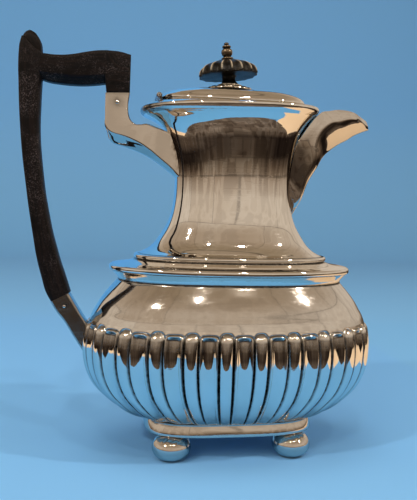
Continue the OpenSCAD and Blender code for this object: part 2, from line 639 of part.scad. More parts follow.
// Rosette of leaves between the lid and the finial, with a seat cut to the lean
rosette_h = 3.4;
z_finial = z_dome + rosette_h;
module finial_rosette() {
  color(silver)
    difference() {
      translate([axis_x + lid_x - finial_back, 0, z_dome])
        rotate_extrude($fn = 72)
        polygon([[0, 0], [5.6, 0], [5.7, 0.2], [rosette_r - 0.5, 0.2], [rosette_r, 0.7],
          [rosette_r * 0.9, 1.9], [rosette_r * 0.66, 2.5], [6.9, 2.5], [6.5, rosette_h + 0.8], [0, rosette_h + 0.8]]);
      leaning() {
        translate([0, 0, z_finial])
          cylinder(r = 9, h = 3, $fn = 48);
        translate([0, 0, z_dome - 3])
          cylinder(r = screw_r, h = 12, $fn = 24);
      }
      for (i = [0:11])
        translate([axis_x + lid_x - finial_back, 0, z_dome])
          rotate([0, 0, 30 * i + 15])
          translate([rosette_r + 0.6, 0, -3])
          cylinder(r = 1.5, h = 8, $fn = 20);
    }
}

// Brim of the finial: an oblong umbrella of hollow panels between ridges, [part of radius, z, hollow]
brim_p = [[0.5, 5.6, 0], [0.9, 6.5, 0.2], [0.985, 7.1, 0.9], [1, 8, 1.1], [0.98, 9.8, 1.1], [0.87, 11.8, 0.9],
  [0.66, 13.4, 0.6], [0.42, 14.6, 0.3], [0.26, finial_h, 0]];
brim_n = 20;
function brim_ring(s) = [for (j = [0:5 * brim_n - 1])
  let (t = j * 72 / brim_n, r = s[0] * finial_r * polar_r(0.88, 2.4, t) - s[2] * sin(36 * (j % 5)))
  [r * cos(t), r * sin(t), s[1]]];

module finial() {
  color(ebony)
    leaning()
    translate([0, 0, z_finial])
    difference() {
      union() {
        rotate_extrude($fn = 72)
          polygon([[0, 0], [5.6, 0], [5.4, 0.9], [4.2, 2.4], [3.9, 4.2], [4.6, 5.4], [6, 6], [0, 6]]);
        loft([for (s = brim_p) brim_ring(s)]);
      }
      translate([0, 0, -1])
        cylinder(r = screw_r, h = finial_h + 2, $fn = 24);
    }
}

z_knop = z_finial + finial_h;
z_under = z_dome - 1.5;
// Silver knop with the screw that clamps the finial to the lid
module finial_knop() {
  color(silver)
    leaning()
    rotate_extrude($fn = 48)
    polygon([[0, z_under - 6], [screw_r, z_under - 6], [screw_r, z_knop], [finial_r * 0.2, z_knop],
      [finial_r * 0.2, z_knop + 0.9], [2.2, z_knop + 1.4], [2.2, z_knop + 1.9], [knop_r * 0.94, z_knop + 3],
      [knop_r, z_knop + 4.2], [knop_r * 0.9, z_knop + 5.4], [2, z_knop + 6.4], [2, z_knop + 6.9],
      [2.6, z_knop + 7.3], [2.5, z_knop + 7.9], [1.3, z_knop + 8.3], [1.5, z_knop + 9.1], [1.1, z_knop + 9.9],
      [0, z_knop + 10.2]]);
}

module finial_washer() {
  color(silver)
    leaning()
    translate([0, 0, z_under - 1.1])
    rotate_extrude($fn = 48)
    polygon([[screw_r, 0], [4.6, 0], [4.6, 1.1], [screw_r, 1.1]]);
}

module finial_nut() {
  color(silver)
    leaning()
    translate([0, 0, z_under - 4.3])
    difference() {
      cylinder(r = 3.6, h = 3.2, $fn = 6);
      translate([0, 0, -1])
        cylinder(r = screw_r, h = 6, $fn = 24);
    }
}

bowl();
shoulder();
ledge_moulding();
neck();
neck_bead();
rim_moulding();
spout();
foot_collar();
foot_plate();
foot_front_left();
foot_front_right();
foot_back_left();
foot_back_right();
upper_socket();
lower_socket();
handle();
upper_handle_pin();
lower_handle_pin();
hinge_pot_knuckles();
hinge_pin();
lid();
lid_bezel();
hinge_lid_knuckle();
finial_rosette();
finial();
finial_knop();
finial_washer();
finial_nut();
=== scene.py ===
# %% [markdown]
# # A half-fluted silver coffee pot
# A Victorian-style coffee pot is raised from sheet silver: an oblong bowl with
# flutes and lobes hammered into its lower half, a hollow-curved neck, a beak
# spout, a hinged lid, and a handle and finial of ebonised wood that stay cool.
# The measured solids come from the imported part. This lesson dresses them with
# smooth surfaces worked out with numpy, and with silver and wood finishes.

# %% Load the measured part
import math
import bmesh
import bpy
import numpy as np
from mathutils import Matrix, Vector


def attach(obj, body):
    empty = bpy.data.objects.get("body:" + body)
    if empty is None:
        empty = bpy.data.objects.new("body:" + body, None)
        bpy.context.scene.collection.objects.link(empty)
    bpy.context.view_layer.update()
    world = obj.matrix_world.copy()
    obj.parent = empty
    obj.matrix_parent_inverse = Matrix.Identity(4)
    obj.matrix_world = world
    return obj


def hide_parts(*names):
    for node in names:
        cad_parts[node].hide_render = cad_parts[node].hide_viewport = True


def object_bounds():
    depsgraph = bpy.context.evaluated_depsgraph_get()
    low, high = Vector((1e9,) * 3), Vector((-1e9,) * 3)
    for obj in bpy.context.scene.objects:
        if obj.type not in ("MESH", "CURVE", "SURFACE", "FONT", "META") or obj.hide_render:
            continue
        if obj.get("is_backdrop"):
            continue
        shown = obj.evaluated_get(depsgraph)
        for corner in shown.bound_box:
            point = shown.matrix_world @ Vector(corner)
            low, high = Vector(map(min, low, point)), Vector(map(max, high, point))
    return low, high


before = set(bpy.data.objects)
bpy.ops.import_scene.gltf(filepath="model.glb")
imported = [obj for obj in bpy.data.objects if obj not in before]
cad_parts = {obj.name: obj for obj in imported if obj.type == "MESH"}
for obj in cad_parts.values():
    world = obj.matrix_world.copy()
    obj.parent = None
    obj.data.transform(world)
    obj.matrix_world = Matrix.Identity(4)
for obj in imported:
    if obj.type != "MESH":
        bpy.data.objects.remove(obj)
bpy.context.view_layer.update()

# %% [markdown]
# ## The camera
# The pot is looked at from near the height of its neck, about 0.4 m away, a
# little from the handle's side. The camera stays level and its shift centres
# the pot, so upright lines stay upright. A slight roll suits a hand-held view.

# %% Camera
MM = 0.001
FOCAL_DOTS = 670
PICTURE_DOTS = 500
PICTURE_MIDDLE = (208.5, 250)
FACED_POINT = (231.8, 207)
SENSOR = 36
CAMERA_PLACE = (-0.0459, -0.3965, 0.1412)
CAMERA_TURN = -9.5
CAMERA_ROLL = 1.6


def into_scene(name, data):
    """A new object with this data, linked to the scene."""
    thing = bpy.data.objects.new(name, data)
    bpy.context.scene.collection.objects.link(thing)
    return thing


view = bpy.data.cameras.new("view")
view.sensor_width = SENSOR
view.lens = FOCAL_DOTS / PICTURE_DOTS * SENSOR
view.shift_x = (PICTURE_MIDDLE[0] - FACED_POINT[0]) / PICTURE_DOTS
view.shift_y = (FACED_POINT[1] - PICTURE_MIDDLE[1]) / PICTURE_DOTS
view.clip_start = 0.01
camera = into_scene("camera", view)
level = Matrix.Rotation(math.radians(90), 4, "X")
facing = Matrix.Rotation(math.radians(CAMERA_TURN), 4, "Z") @ level
roll = Matrix.Rotation(math.radians(CAMERA_ROLL), 4, "Z")
camera.matrix_world = Matrix.Translation(CAMERA_PLACE) @ facing @ roll
bpy.context.scene.camera = camera
bpy.context.scene.view_settings.view_transform = "Standard"
print("lens", round(view.lens, 2), "mm")

# %% [markdown]
# ## Helpers for colours and nodes
# Paint and metal colours are easiest to name as sRGB hex values, but the
# renderer works in linear light, so one function turns them. A second small
# function adds a node, sets what it is given and links what feeds it. The rest
# are short names for the nodes that come up again and again.

# %% Colour and node helpers
def tone(code):
    """sRGB hex to linear: c / 12.92 up to 0.04045, else (c + 0.055) / 1.055 to the power 2.4."""
    c = np.array([int(code[i:i + 2], 16) for i in (1, 3, 5)]) / 255
    c = np.where(c <= 0.04045, c / 12.92, ((c + 0.055) / 1.055) ** 2.4)
    return (float(c[0]), float(c[1]), float(c[2]), 1.0)


def add_node(tree, kind, feeds=None, **settings):
    """Adds one node; feeds maps an input to a value or to the output that drives it."""
    node = tree.nodes.new(kind)
    for name, value in settings.items():
        setattr(node, name, value)
    for key, value in (feeds or {}).items():
        socket = node.inputs[key]
        if isinstance(value, bpy.types.NodeSocket):
            tree.links.new(value, socket)
        else:
            socket.default_value = value
    return node


def ramped(tree, value, stops):
    """Turns a value to a colour by a ramp of (place, hex colour or grey level) stops."""
    node = add_node(tree, "ShaderNodeValToRGB", {0: value})
    ramp = node.color_ramp
    while len(ramp.elements) > 1:
        ramp.elements.remove(ramp.elements[-1])
    for i, (place, colour) in enumerate(stops):
        e = ramp.elements[0] if i == 0 else ramp.elements.new(place)
        e.position = place
        e.color = tone(colour) if isinstance(colour, str) else (colour, colour, colour, 1)
    return node.outputs["Color"]


def ranged(tree, value, low, high, start=0.0, end=1.0):
    """Turns low to high into start to end, and holds a value beyond them at the nearer end."""
    return add_node(tree, "ShaderNodeMapRange", {0: value, 1: low, 2: high, 3: start, 4: end}).outputs[0]


def worked(tree, sum_kind, *values, **settings):
    """The result of one kind of sum on one to three values."""
    feeds = dict(enumerate(values))
    return add_node(tree, "ShaderNodeMath", feeds, operation=sum_kind, **settings).outputs[0]


def mixed(tree, share, one, other, **settings):
    """One colour with a share of the other."""
    feeds = {0: share, 6: one, 7: other}
    return add_node(tree, "ShaderNodeMix", feeds, data_type="RGBA", **settings).outputs[2]


def noise(tree, place, scale, detail, **feeds):
    """Cloudy grey values round a half; the scale is lumps per unit of the place."""
    feeds = {"Vector": place, "Scale": scale, "Detail": detail, **feeds}
    return add_node(tree, "ShaderNodeTexNoise", feeds).outputs[0]


def new_finish(name):
    """A new material with its node tree and its shader."""
    finish = bpy.data.materials.new(name)
    finish.use_nodes = True
    return finish, finish.node_tree, finish.node_tree.nodes["Principled BSDF"]


print("middle grey in linear light:", round(tone("#808080")[0], 3))

# %% [markdown]
# ## Table, cards and flags
# Polished silver has almost no colour of its own: it shows the room. So the
# studio is part of the finish. Blue paper sweeps from the table up behind the
# pot. The silver mirrors its own cut of that paper, with cream card beside it
# and black flags, which silver photographers lay just out of view, behind.

# %% Paper, cards and flags
def studio_sheet(name, points, faces, finish):
    """One sheet of the studio from its points in metres; it is stage, not part of the pot."""
    mesh = bpy.data.meshes.new(name)
    mesh.from_pydata(points, [], faces)
    mesh.materials.append(finish)
    mesh.shade_smooth()
    sheet = into_scene(name, mesh)
    sheet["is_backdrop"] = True
    return sheet


def swept_sheet(name, line, half_width, middle, finish):
    """A strip across the view: the (y, z) line carried along x, half a width each way of the middle."""
    n = len(line)
    points = [(x + middle, y, z) for x in (-half_width, half_width) for y, z in line]
    return studio_sheet(name, points, [(i + 1, i, n + i, n + i + 1) for i in range(n - 1)], finish)


def sweep_line(front, back, bend, top, low=0.0):
    """Flat from front to back, a quarter round of the bend radius, then straight up."""
    turn = np.linspace(0, math.pi / 2, 13)
    arc = [(back + bend * math.sin(t), low + bend - bend * math.cos(t)) for t in turn]
    return [(front, low)] + arc + [(back + bend, top)]


def glossy_only(sheet):
    """The silver mirrors the sheet; it isn't seen directly, and neither lights nor shades anything."""
    sheet.visible_camera = False
    sheet.visible_shadow = False
    sheet.visible_diffuse = False
    return sheet


def painted_sheet(name, colour, rough):
    """Smooth painted card, cloth or paper of one colour."""
    finish, _, shader = new_finish(name)
    shader.inputs["Base Color"].default_value = tone(colour)
    shader.inputs["Roughness"].default_value = rough
    return finish


TABLE_FRONT = -0.2
TABLE_BACK = 0.42
LIFT = 0.0006
paper = painted_sheet("backdrop_paper", "#7DBDF2", 0.75)
blue_card = painted_sheet("blue_card_paint", "#5CA8EA", 0.8)
black_cloth = painted_sheet("black_flag_cloth", "#17120F", 0.9)
cream_card = painted_sheet("cream_card_paint", "#EBD3B4", 0.8)
floor = swept_sheet("floor", sweep_line(-6.0, 1.3, 0.5, 2.4), 3.0, 0.0, paper)
floor.visible_glossy = False
card_line = sweep_line(TABLE_FRONT, TABLE_BACK, 0.12, 1.0, LIFT)
cards = [glossy_only(swept_sheet("card_table", card_line, 0.285, -0.065, blue_card))]
for name, inner, outer in (("left", -0.35, -0.45), ("right", 0.22, 0.6)):
    lying = [(x, y, LIFT) for x, y in ((inner, TABLE_FRONT), (outer, TABLE_FRONT),
                                       (outer, TABLE_BACK), (inner, TABLE_BACK))]
    standing = [(inner, 0.54, 0.0), (1.12 * inner, 0.50, 0.0), (1.12 * inner, 0.50, 1.0), (inner, 0.54, 1.0)]
    cards.append(glossy_only(studio_sheet("card_cream_" + name, lying, [(0, 1, 2, 3)], cream_card)))
    cards.append(glossy_only(studio_sheet("flag_" + name, standing, [(0, 1, 2, 3)], black_cloth)))
print("cards and flags:", len(cards))

# %% [markdown]
# ## The room
# In front of the table is a room with warm grey walls, pale towards the
# ceiling and dark at the height of shelves and tables. It is a world whose
# colour depends on the way up: two ramps, one straight ahead and behind, one
# to the sides. Noise and two brick patterns draw furniture, panels and joints.

# %% Room colours round the pot
room = bpy.data.worlds.new("room")
bpy.context.scene.world = room
room.use_nodes = True
wt = room.node_tree
wt.nodes.clear()
where = add_node(wt, "ShaderNodeTexCoord").outputs["Generated"]
split = add_node(wt, "ShaderNodeSeparateXYZ", {0: where})
east, north, up = split.outputs
UPPER_WALL = [(0.55, "#CFC1B1"), (0.70, "#D2C4B4"), (0.84, "#AD9B87"), (0.95, "#98866F"), (1.0, "#A3917C")]
SIDE_WALL = [(0.0, "#6E6054"), (0.30, "#8B7D70"), (0.345, "#6A5C50"), (0.385, "#2C2420"), (0.44, "#2A221D"),
             (0.475, "#6A5B4E"), (0.50, "#A08E7C")] + UPPER_WALL
FACING_WALL = [(0.0, "#6E6054"), (0.30, "#96877A"), (0.345, "#74675B"), (0.385, "#4B4038"), (0.44, "#5D5146"),
               (0.475, "#948575"), (0.50, "#AC9B8A")] + UPPER_WALL
height = ranged(wt, up, -1.0, 1.0)
side_wall = ramped(wt, height, SIDE_WALL)
facing_wall = ramped(wt, height, FACING_WALL)
straight_on = ranged(wt, worked(wt, "ABSOLUTE", east), 0.40, 0.75, 1.0, 0.0)
wall = mixed(wt, straight_on, side_wall, facing_wall)
spread = add_node(wt, "ShaderNodeMapping", {"Vector": where, "Scale": (1.6, 1.6, 1.0)}).outputs[0]
clutter = noise(wt, spread, 3.4, 2.0, Roughness=0.5, Distortion=0.2)
patches = ramped(wt, clutter, [
    (0.0, "#7C7066"), (0.44, "#A4978B"), (0.455, "#E6DED6"), (0.56, "#FFFFFF"), (0.575, "#CFC5BB"),
    (1.0, "#F4EEE8")])
print("room so far:", len(wt.nodes), "nodes")

# %% Furniture, panels and joints in the room
bearing = worked(wt, "ARCTAN2", east, north)
unrolled = add_node(wt, "ShaderNodeCombineXYZ", {0: bearing, 1: up}).outputs[0]
panels = add_node(wt, "ShaderNodeTexBrick", {
    "Vector": unrolled, "Scale": 5.2, "Brick Width": 0.42, "Row Height": 0.55, "Mortar Size": 0.03,
    "Mortar Smooth": 0.0, "Bias": 0.1, "Color1": tone("#FFFFFF"), "Color2": tone("#5B4E44"),
    "Mortar": tone("#2E2620")})
shelves = add_node(wt, "ShaderNodeTexBrick", {
    "Vector": unrolled, "Scale": 1.3, "Brick Width": 1.1, "Row Height": 0.62, "Mortar Size": 0.009,
    "Mortar Smooth": 0.1, "Bias": 0.0, "Color1": tone("#FFFFFF"), "Color2": tone("#E3DAD0"),
    "Mortar": tone("#2B241F")})
below_eye = ranged(wt, up, -0.05, 0.12, 0.75, 0.22)
low_down = ranged(wt, up, -0.02, 0.02, 0.42, 0.0)
patterns = [(below_eye, patches), (low_down, panels.outputs["Color"]), (0.45, shelves.outputs["Color"])]
for share, pattern in patterns:
    wall = mixed(wt, share, wall, pattern, blend_type="MULTIPLY")
direct = add_node(wt, "ShaderNodeLightPath").outputs["Is Camera Ray"]
shown = mixed(wt, direct, wall, tone("#B5D6EC"))
glow = add_node(wt, "ShaderNodeBackground", {"Color": shown, "Strength": 1.0})
add_node(wt, "ShaderNodeOutputWorld", {0: glow.outputs[0]})
print("room:", len(wt.nodes), "nodes")

# %% [markdown]
# ## Lamps
# Two large softboxes give the soft light and are hidden from the silver, which
# would show them as white bands. Four small lamps are left for it to mirror,
# because small bright dots on every swelling are what makes metal look wet.

# %% Lamps
def soft_lamp(name, place, aim, size, power, colour, shape):
    """Area lamp at place, its z axis from the aim to it; size in metres, power in watts."""
    data = bpy.data.lights.new(name, "AREA")
    data.shape = shape
    data.size = size[0]
    data.size_y = size[1]
    data.energy = power
    data.color = tone(colour)[:3]
    lamp = into_scene(name, data)
    z = np.array(place, float) - np.array(aim, float)
    z = z / np.linalg.norm(z)
    x = np.cross((0, 0, 1), z)
    x = x / np.linalg.norm(x)
    axes = np.stack([x, np.cross(z, x), z, place], -1)
    lamp.matrix_world = Matrix(np.vstack([axes, [0, 0, 0, 1]]).tolist())
    return lamp


softboxes = [
    soft_lamp("softbox_top", (-0.2, -0.1, 1.6), (0, 0, 0.1), (1.1, 0.9), 8, "#FFF6EA", "RECTANGLE"),
    soft_lamp("softbox_front", (-1.0, -1.4, 1.2), (0, 0, 0.12), (0.9, 0.6), 7, "#FFEBD2", "RECTANGLE")]
for softbox in softboxes:
    softbox.visible_glossy = False
for name, place, aim, size, power in (
        ("lamp_right", (1.25, -0.75, 1.35), 0.05, 0.1, 10), ("lamp_left", (-1.0, -0.85, 1.25), 0.05, 0.1, 7),
        ("ceiling_lamp_0", (-0.25, -1.2, 1.5), 0.15, 0.06, 2.5),
        ("ceiling_lamp_1", (0.35, -1.0, 1.5), 0.15, 0.06, 2.5)):
    soft_lamp(name, place, (0, 0, aim), (size, size), power, "#FFF3E6", "DISK")
print("lamps:", len(bpy.data.lights))

# %% [markdown]
# ## Silver
# The pot is silver plate or sterling, hammered, then polished with rouge.
# Polished silver reflects about nine tenths of the light, very slightly warm,
# so it is a metal with a pale base colour and a roughness near 0.03. Years of
# cleaning leave hairline scratches that haze the lamps' reflections, and dark
# silver sulphide stays where the cloth can't reach: in grooves and joints. The
# same dark mark is also painted shade and painted reflection: near the foot,
# under the arches, over the shoulder, at the rim's handle end and on the hinge.
# Real hairlines are hundredths of a millimetre wide. Here they are about a
# millimetre, the finest that still shows. The upper bracket, spout, collar and
# feet take a darker copy of the silver, painted shade for the darker room they
# mirror; the foot plate was never polished, and the knop and rosette have yellowed.

# %% Silver finish
def hairlines(tree, place, angle, thin, long):
    """Noise stretched to lines: fine across, long along, in lines per metre, turned by the angle."""
    spin = add_node(tree, "ShaderNodeMapping", {
        "Vector": place, "Rotation": tuple(np.radians(angle)), "Scale": (long, thin, thin * 0.7)})
    lines = noise(tree, spin.outputs[0], 1.0, 2.0)
    return ramped(tree, lines, [(0.0, 0.0), (0.60, 0.0), (0.68, 1.0), (0.76, 0.0), (1.0, 0.0)])


def silver_finish(name, shine=0.03, tarnish_all=0.0, low="#F1EBE1", high="#F7F3EC"):
    """Silver between two cloudy tones. The dark mark, 0 to 1 per point, is tarnish in grooves and joints and
    painted shade elsewhere; it mixes in black and adds roughness.
    """
    finish, t, shader = new_finish(name)
    shader.inputs["Metallic"].default_value = 1.0
    place = add_node(t, "ShaderNodeTexCoord").outputs["Object"]
    cloud = noise(t, place, 38.0, 3.0, Roughness=0.55)
    fine = noise(t, place, 420.0, 2.0)
    # The dark mark mixes in black: tarnish in grooves and joints, painted shade elsewhere.
    dark_marks = add_node(t, "ShaderNodeAttribute", attribute_name="tarnish").outputs["Fac"]
    all_over = worked(t, "ADD", dark_marks, tarnish_all, use_clamp=True)
    uneven = ranged(t, fine, 0.3, 0.7, 0.75, 1.1)
    dark = worked(t, "MULTIPLY", all_over, uneven, use_clamp=True)
    bright = ramped(t, cloud, [(0.3, low), (0.7, high)])
    t.links.new(mixed(t, dark, bright, tone("#1E1813")), shader.inputs["Base Color"])
    one_way = hairlines(t, place, (20, 10, 35), 900.0, 40.0)
    other_way = hairlines(t, place, (-35, 60, -20), 1100.0, 30.0)
    scratch = worked(t, "MAXIMUM", one_way, other_way)
    base = ranged(t, cloud, 0.3, 0.7, shine * 0.7, shine * 1.5)
    hazed = worked(t, "MULTIPLY_ADD", scratch, 0.05, base)
    t.links.new(worked(t, "MULTIPLY_ADD", dark, 0.30, hazed), shader.inputs["Roughness"])
    dip = worked(t, "MULTIPLY_ADD", scratch, -0.25, cloud)
    bump = add_node(t, "ShaderNodeBump", {"Height": dip, "Strength": 0.03, "Distance": 0.0004})
    t.links.new(bump.outputs[0], shader.inputs["Normal"])
    return finish


silver = silver_finish("polished_silver")
# A darker copy of the silver: painted shade for parts that mirror a darker room.
silver_with_painted_shade = silver_finish("silver_with_painted_shade", low="#D6CFC5", high="#E0D9CF")
dull_silver = silver_finish("unpolished_silver", 0.2, 0.15)
knop_silver = silver_finish("tarnished_knop_silver", 0.12, 0.5, "#7C6850", "#B5A186")
rosette_silver = silver_finish("cast_rosette_silver", 0.12, 0.1, "#E6DAC6", "#F2E9DB")
print("silver nodes:", len(silver.node_tree.nodes))

# %% [markdown]
# ## Ebonised wood
# The handle and the finial are pear or beech stained black to pass for ebony.
# The stain is matt, browner where it has worn, and a bloom of pale specks
# shows in the pores where polish has dried. The grain runs along the piece,
# so each wooden piece carries its own attribute, in mm along and across it.

# %% Wood finishes
def ebonised_wood(name, base, worn, speck, speck_amount, rough):
    """Streaks of base and worn brown along the grain, pale specks in the pores, and pale ridges, rubbed bare
    and a painted highlight.
    """
    finish, t, shader = new_finish(name)
    shader.inputs["Specular IOR Level"].default_value = 0.15
    along = add_node(t, "ShaderNodeAttribute", attribute_name="grain").outputs["Vector"]
    worn_by_hand = add_node(t, "ShaderNodeAttribute", attribute_name="wear").outputs["Fac"]
    ridge = add_node(t, "ShaderNodeAttribute", attribute_name="ridge").outputs["Fac"]
    drawn_out = add_node(t, "ShaderNodeMapping", {"Vector": along, "Scale": (0.05, 0.9, 0.9)}).outputs[0]
    streaks = noise(t, drawn_out, 1.0, 4.0, Roughness=0.6)
    wear = noise(t, along, 0.09, 4.0, Roughness=0.62)
    pores = noise(t, along, 1.5, 3.0, Roughness=0.7)
    browned = ranged(t, streaks, 0.42, 0.75, 0.0, 0.8)
    colour = mixed(t, browned, tone(base), tone(worn))
    flecks = ranged(t, wear, 0.40, 0.68)
    for share in (worn_by_hand, ranged(t, pores, 0.52, 0.70), speck_amount):
        flecks = worked(t, "MULTIPLY", flecks, share)
    rubbed_and_highlight = worked(t, "MULTIPLY", ridge, ranged(t, pores, 0.35, 0.6, 0.45, 1.0))
    for share in (flecks, rubbed_and_highlight):
        colour = mixed(t, share, colour, tone(speck))
    t.links.new(colour, shader.inputs["Base Color"])
    matt = ranged(t, streaks, 0.3, 0.7, rough - 0.08, rough + 0.1)
    t.links.new(matt, shader.inputs["Roughness"])
    relief = worked(t, "MULTIPLY_ADD", pores, 0.5, streaks)
    bump = add_node(t, "ShaderNodeBump", {"Height": relief, "Strength": 0.25, "Distance": 0.0005})
    t.links.new(bump.outputs[0], shader.inputs["Normal"])
    return finish


handle_wood = ebonised_wood("ebonised_handle_wood", "#0B0807", "#21150F", "#8F7C78", 0.66, 0.46)
finial_wood = ebonised_wood("ebonised_finial_wood", "#090706", "#1A110C", "#D2BEA0", 0.9, 0.36)
print("wood nodes:", len(handle_wood.node_tree.nodes))

# %% [markdown]
# ## Surfaces from rings and profiles
# Almost every silver piece here is a stack of rings. Each ring is a
# superellipse, a squared-off oval, whose half length, height, width ratio and
# squareness come from a profile line. A smooth curve is run through a few
# profile stations, and a grid of points is worked out for all rings at once.

# %% Shapes of the pot's ovals
# Q is an oval's width over its length, N its squareness, and 2 is an ellipse.
Q_BODY = 0.64
Q_LIP = 0.584
Q_MOUTH = 0.67
Q_COLLAR = 0.65
N_BODY = 2.3
N_NECK = 2.6
N_COLLAR = 3.4
# The middle of the body, how far the lip stands back from it, and its tilt.
AXIS_X = 20.4
LIP_BACK = 2.6
LIP_TILT = 1.7
A_LIP = 52.4


def polar_radius(q, n, t):
    """Superellipse with half axes 1 and q: one over the n-th root of |cos t| to n plus |sin t / q| to n."""
    return (np.abs(np.cos(t)) ** n + np.abs(np.sin(t) / q) ** n) ** (-1 / n)


RING_T = np.linspace(0, 2 * np.pi, 1441)
RING_XY = np.stack([polar_radius(Q_BODY, N_BODY, RING_T) * f(RING_T) for f in (np.cos, np.sin)], -1)


def run_length(points):
    """Length along a line up to each of its points: the running sum of the distances between them."""
    return np.concatenate([[0], np.cumsum(np.linalg.norm(np.diff(points, axis=0), axis=1))])


RING_S = run_length(RING_XY)


def evenly(columns):
    """The parts of the way round at that many columns, from 0 to just short of 1."""
    return np.arange(columns) / columns


def even_angle(u):
    """Angle at the part u of the way round the body, by arc length."""
    return np.interp(np.mod(u, 1) * RING_S[-1], RING_S, RING_T)


print("arc length of the unit body ring:", round(float(RING_S[-1]), 4))

# %% Curves and rings
def fair(stations, per=8):
    """Cubic through the stations; the slope at each is its neighbours' mean, the nearer weighted more."""
    p = np.asarray(stations, float)
    d = np.maximum(np.linalg.norm(np.diff(p[:, :2], axis=0), axis=1), 1e-6)[:, None]
    g = np.diff(p, axis=0) / d
    m = np.vstack([g[:1], (g[:-1] * d[1:] + g[1:] * d[:-1]) / (d[1:] + d[:-1]), g[-1:]])
    t = (np.arange(per) / per)[None, :, None]
    q = ((2 * t ** 3 - 3 * t ** 2 + 1) * p[:-1, None] + (t ** 3 - 2 * t ** 2 + t) * d[:, None] * m[:-1, None]
         + (3 * t ** 2 - 2 * t ** 3) * p[1:, None] + (t ** 3 - t ** 2) * d[:, None] * m[1:, None])
    return np.vstack([q.reshape(-1, p.shape[1]), p[-1:]])


def joined(*runs):
    """Runs of stations end to end; a run's first row is dropped when it repeats the last one."""
    out = [np.asarray(runs[0], float)]
    for run in runs[1:]:
        run = np.asarray(run, float)
        same = np.allclose(run[0], out[-1][-1], atol=1e-6)
        out.append(run[1:] if same else run)
    return np.vstack(out)


def placed(stations, a=0.0, z=0.0):
    """The stations with their first two columns counted from a and z."""
    moved = np.array(stations, float)
    moved[:, :2] += [a, z]
    return moved


def oval(line, q, n):
    """Stations [a, z] on an oval of one shape, with nothing of the lip's setback."""
    return np.column_stack([line, np.full((len(line), 3), [q, n, 0])])


def ring_rows(stations, u=evenly(300)):
    """Rows [a, z, q, n, lip] to points: x = a R cos t, y = a R sin t; lip shifts a ring back and tilts it."""
    a, z, q, n, lip = np.asarray(stations, float).T[:, :, None]
    t = even_angle(u)[None, :]
    r = a * polar_radius(q, n, t)
    x = r * np.cos(t)
    lean = np.maximum(0, 2 * lip - 1) * LIP_TILT / A_LIP
    return np.stack([AXIS_X + x - lip * LIP_BACK, r * np.sin(t), z + lean * x], -1)


def wear_rows(stations, spots, reach):
    """Tarnish per row: 1 at each (a, z) spot, falling off as exp of minus (distance / reach) squared."""
    p = np.asarray(stations, float)[:, :2]
    d = np.linalg.norm(p[:, None] - np.asarray(spots, float)[None], axis=2).min(axis=1)
    return np.exp(-(d / reach) ** 2)


print("points on a smoothed line of 3 stations:", len(fair([[0, 0], [1, 1], [2, 0]])))

# %% Meshes from grids
def add_marks(mesh, marks):
    """Writes each attribute, one number or one vector per point, into the mesh."""
    for key, values in marks.items():
        vectors = values.ndim == 3
        layer = mesh.attributes.new(key, "FLOAT_VECTOR" if vectors else "FLOAT", "POINT")
        layer.data.foreach_set("vector" if vectors else "value", values.astype(np.float32).reshape(-1))


def make_piece(name, grid, finish, body, nodes=(), slot="silver", loop=False, caps=False, crease=32, **marks):
    """Grid of points in mm, rows x columns, each row a closed ring, to a smooth piece. loop joins the last
    row to the first, caps close both ends, and marks are attributes per row or per point."""
    rows, cols = grid.shape[:2]
    r = np.arange(rows if loop else rows - 1)[:, None]
    c = np.arange(cols)[None, :]
    r2 = (r + 1) % rows
    c2 = (c + 1) % cols
    corners = np.broadcast_arrays(r * cols + c, r * cols + c2, r2 * cols + c2, r2 * cols + c)
    faces = np.stack(corners, -1).reshape(-1, 4).tolist()
    if caps:
        faces += [list(range(cols))[::-1], list(range((rows - 1) * cols, rows * cols))]
    mesh = bpy.data.meshes.new(name)
    mesh.from_pydata((grid.reshape(-1, 3) * MM).tolist(), [], faces)
    add_marks(mesh, {key: np.repeat(v, cols) if v.ndim == 1 else v for key, v in marks.items()})
    bm = bmesh.new()
    bm.from_mesh(mesh)
    bmesh.ops.remove_doubles(bm, verts=bm.verts, dist=1e-7)
    bmesh.ops.recalc_face_normals(bm, faces=bm.faces)
    bm.to_mesh(mesh)
    bm.free()
    mesh.shade_smooth()
    mesh.set_sharp_from_angle(angle=math.radians(crease))
    mesh.materials.append(finish)
    piece = into_scene(name, mesh)
    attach(piece, body)
    if nodes:
        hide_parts(*nodes)
    print(name, "faces:", len(mesh.polygons))
    return piece


# %% [markdown]
# ## The fluted bowl
# The lower half of the bowl is worked from inside and outside into broad
# hollow flutes with a raised rim round each arched top, and narrow domed
# lobes between them. In numbers this is one relief added to a plain oval:
# each pair of flute and lobe is measured by its distance to an arch outline.
# Rows of points crowd at the arches and columns at the grooves.

# %% Bowl profile
A_BOWL = 83.6
A_FOOT = 46.8
Z_BOWL = 20.6
Z_WIDE = 60.7
Z_SEAM = 75.7
Z_ARCHES = 65.0
SEAM_SHARE = 0.972
# Below: [share of the height, share of the reach from foot to widest]. Above: [.., share of A_BOWL].
bowl_low = np.array([[0, 0], [0.02, 0.16], [0.065, 0.33], [0.14, 0.47], [0.28, 0.655], [0.43, 0.81],
                     [0.63, 0.93], [0.82, 0.985], [1, 1]])
bowl_top = np.array([[0, 1], [0.35, 0.996], [0.62, 0.988], [0.8, 0.981], [0.88, 0.977], [1, SEAM_SHARE]])
low_line = bowl_low[:, ::-1] * [A_BOWL - A_FOOT, Z_WIDE - Z_BOWL] + [A_FOOT, Z_BOWL]
top_line = bowl_top[:, ::-1] * [A_BOWL, Z_SEAM - Z_WIDE] + [0, Z_WIDE]
dense = fair(joined(low_line, top_line), 40)
run = run_length(dense)
run_arches = np.interp(Z_ARCHES, dense[:, 1], run)
picks = np.concatenate([np.linspace(0, run_arches, 42)[:-1], np.linspace(run_arches, run[-1], 52)])
bowl_rows = np.stack([np.interp(picks, run, dense[:, i]) for i in (0, 1)], -1)
print("bowl rows:", len(bowl_rows))

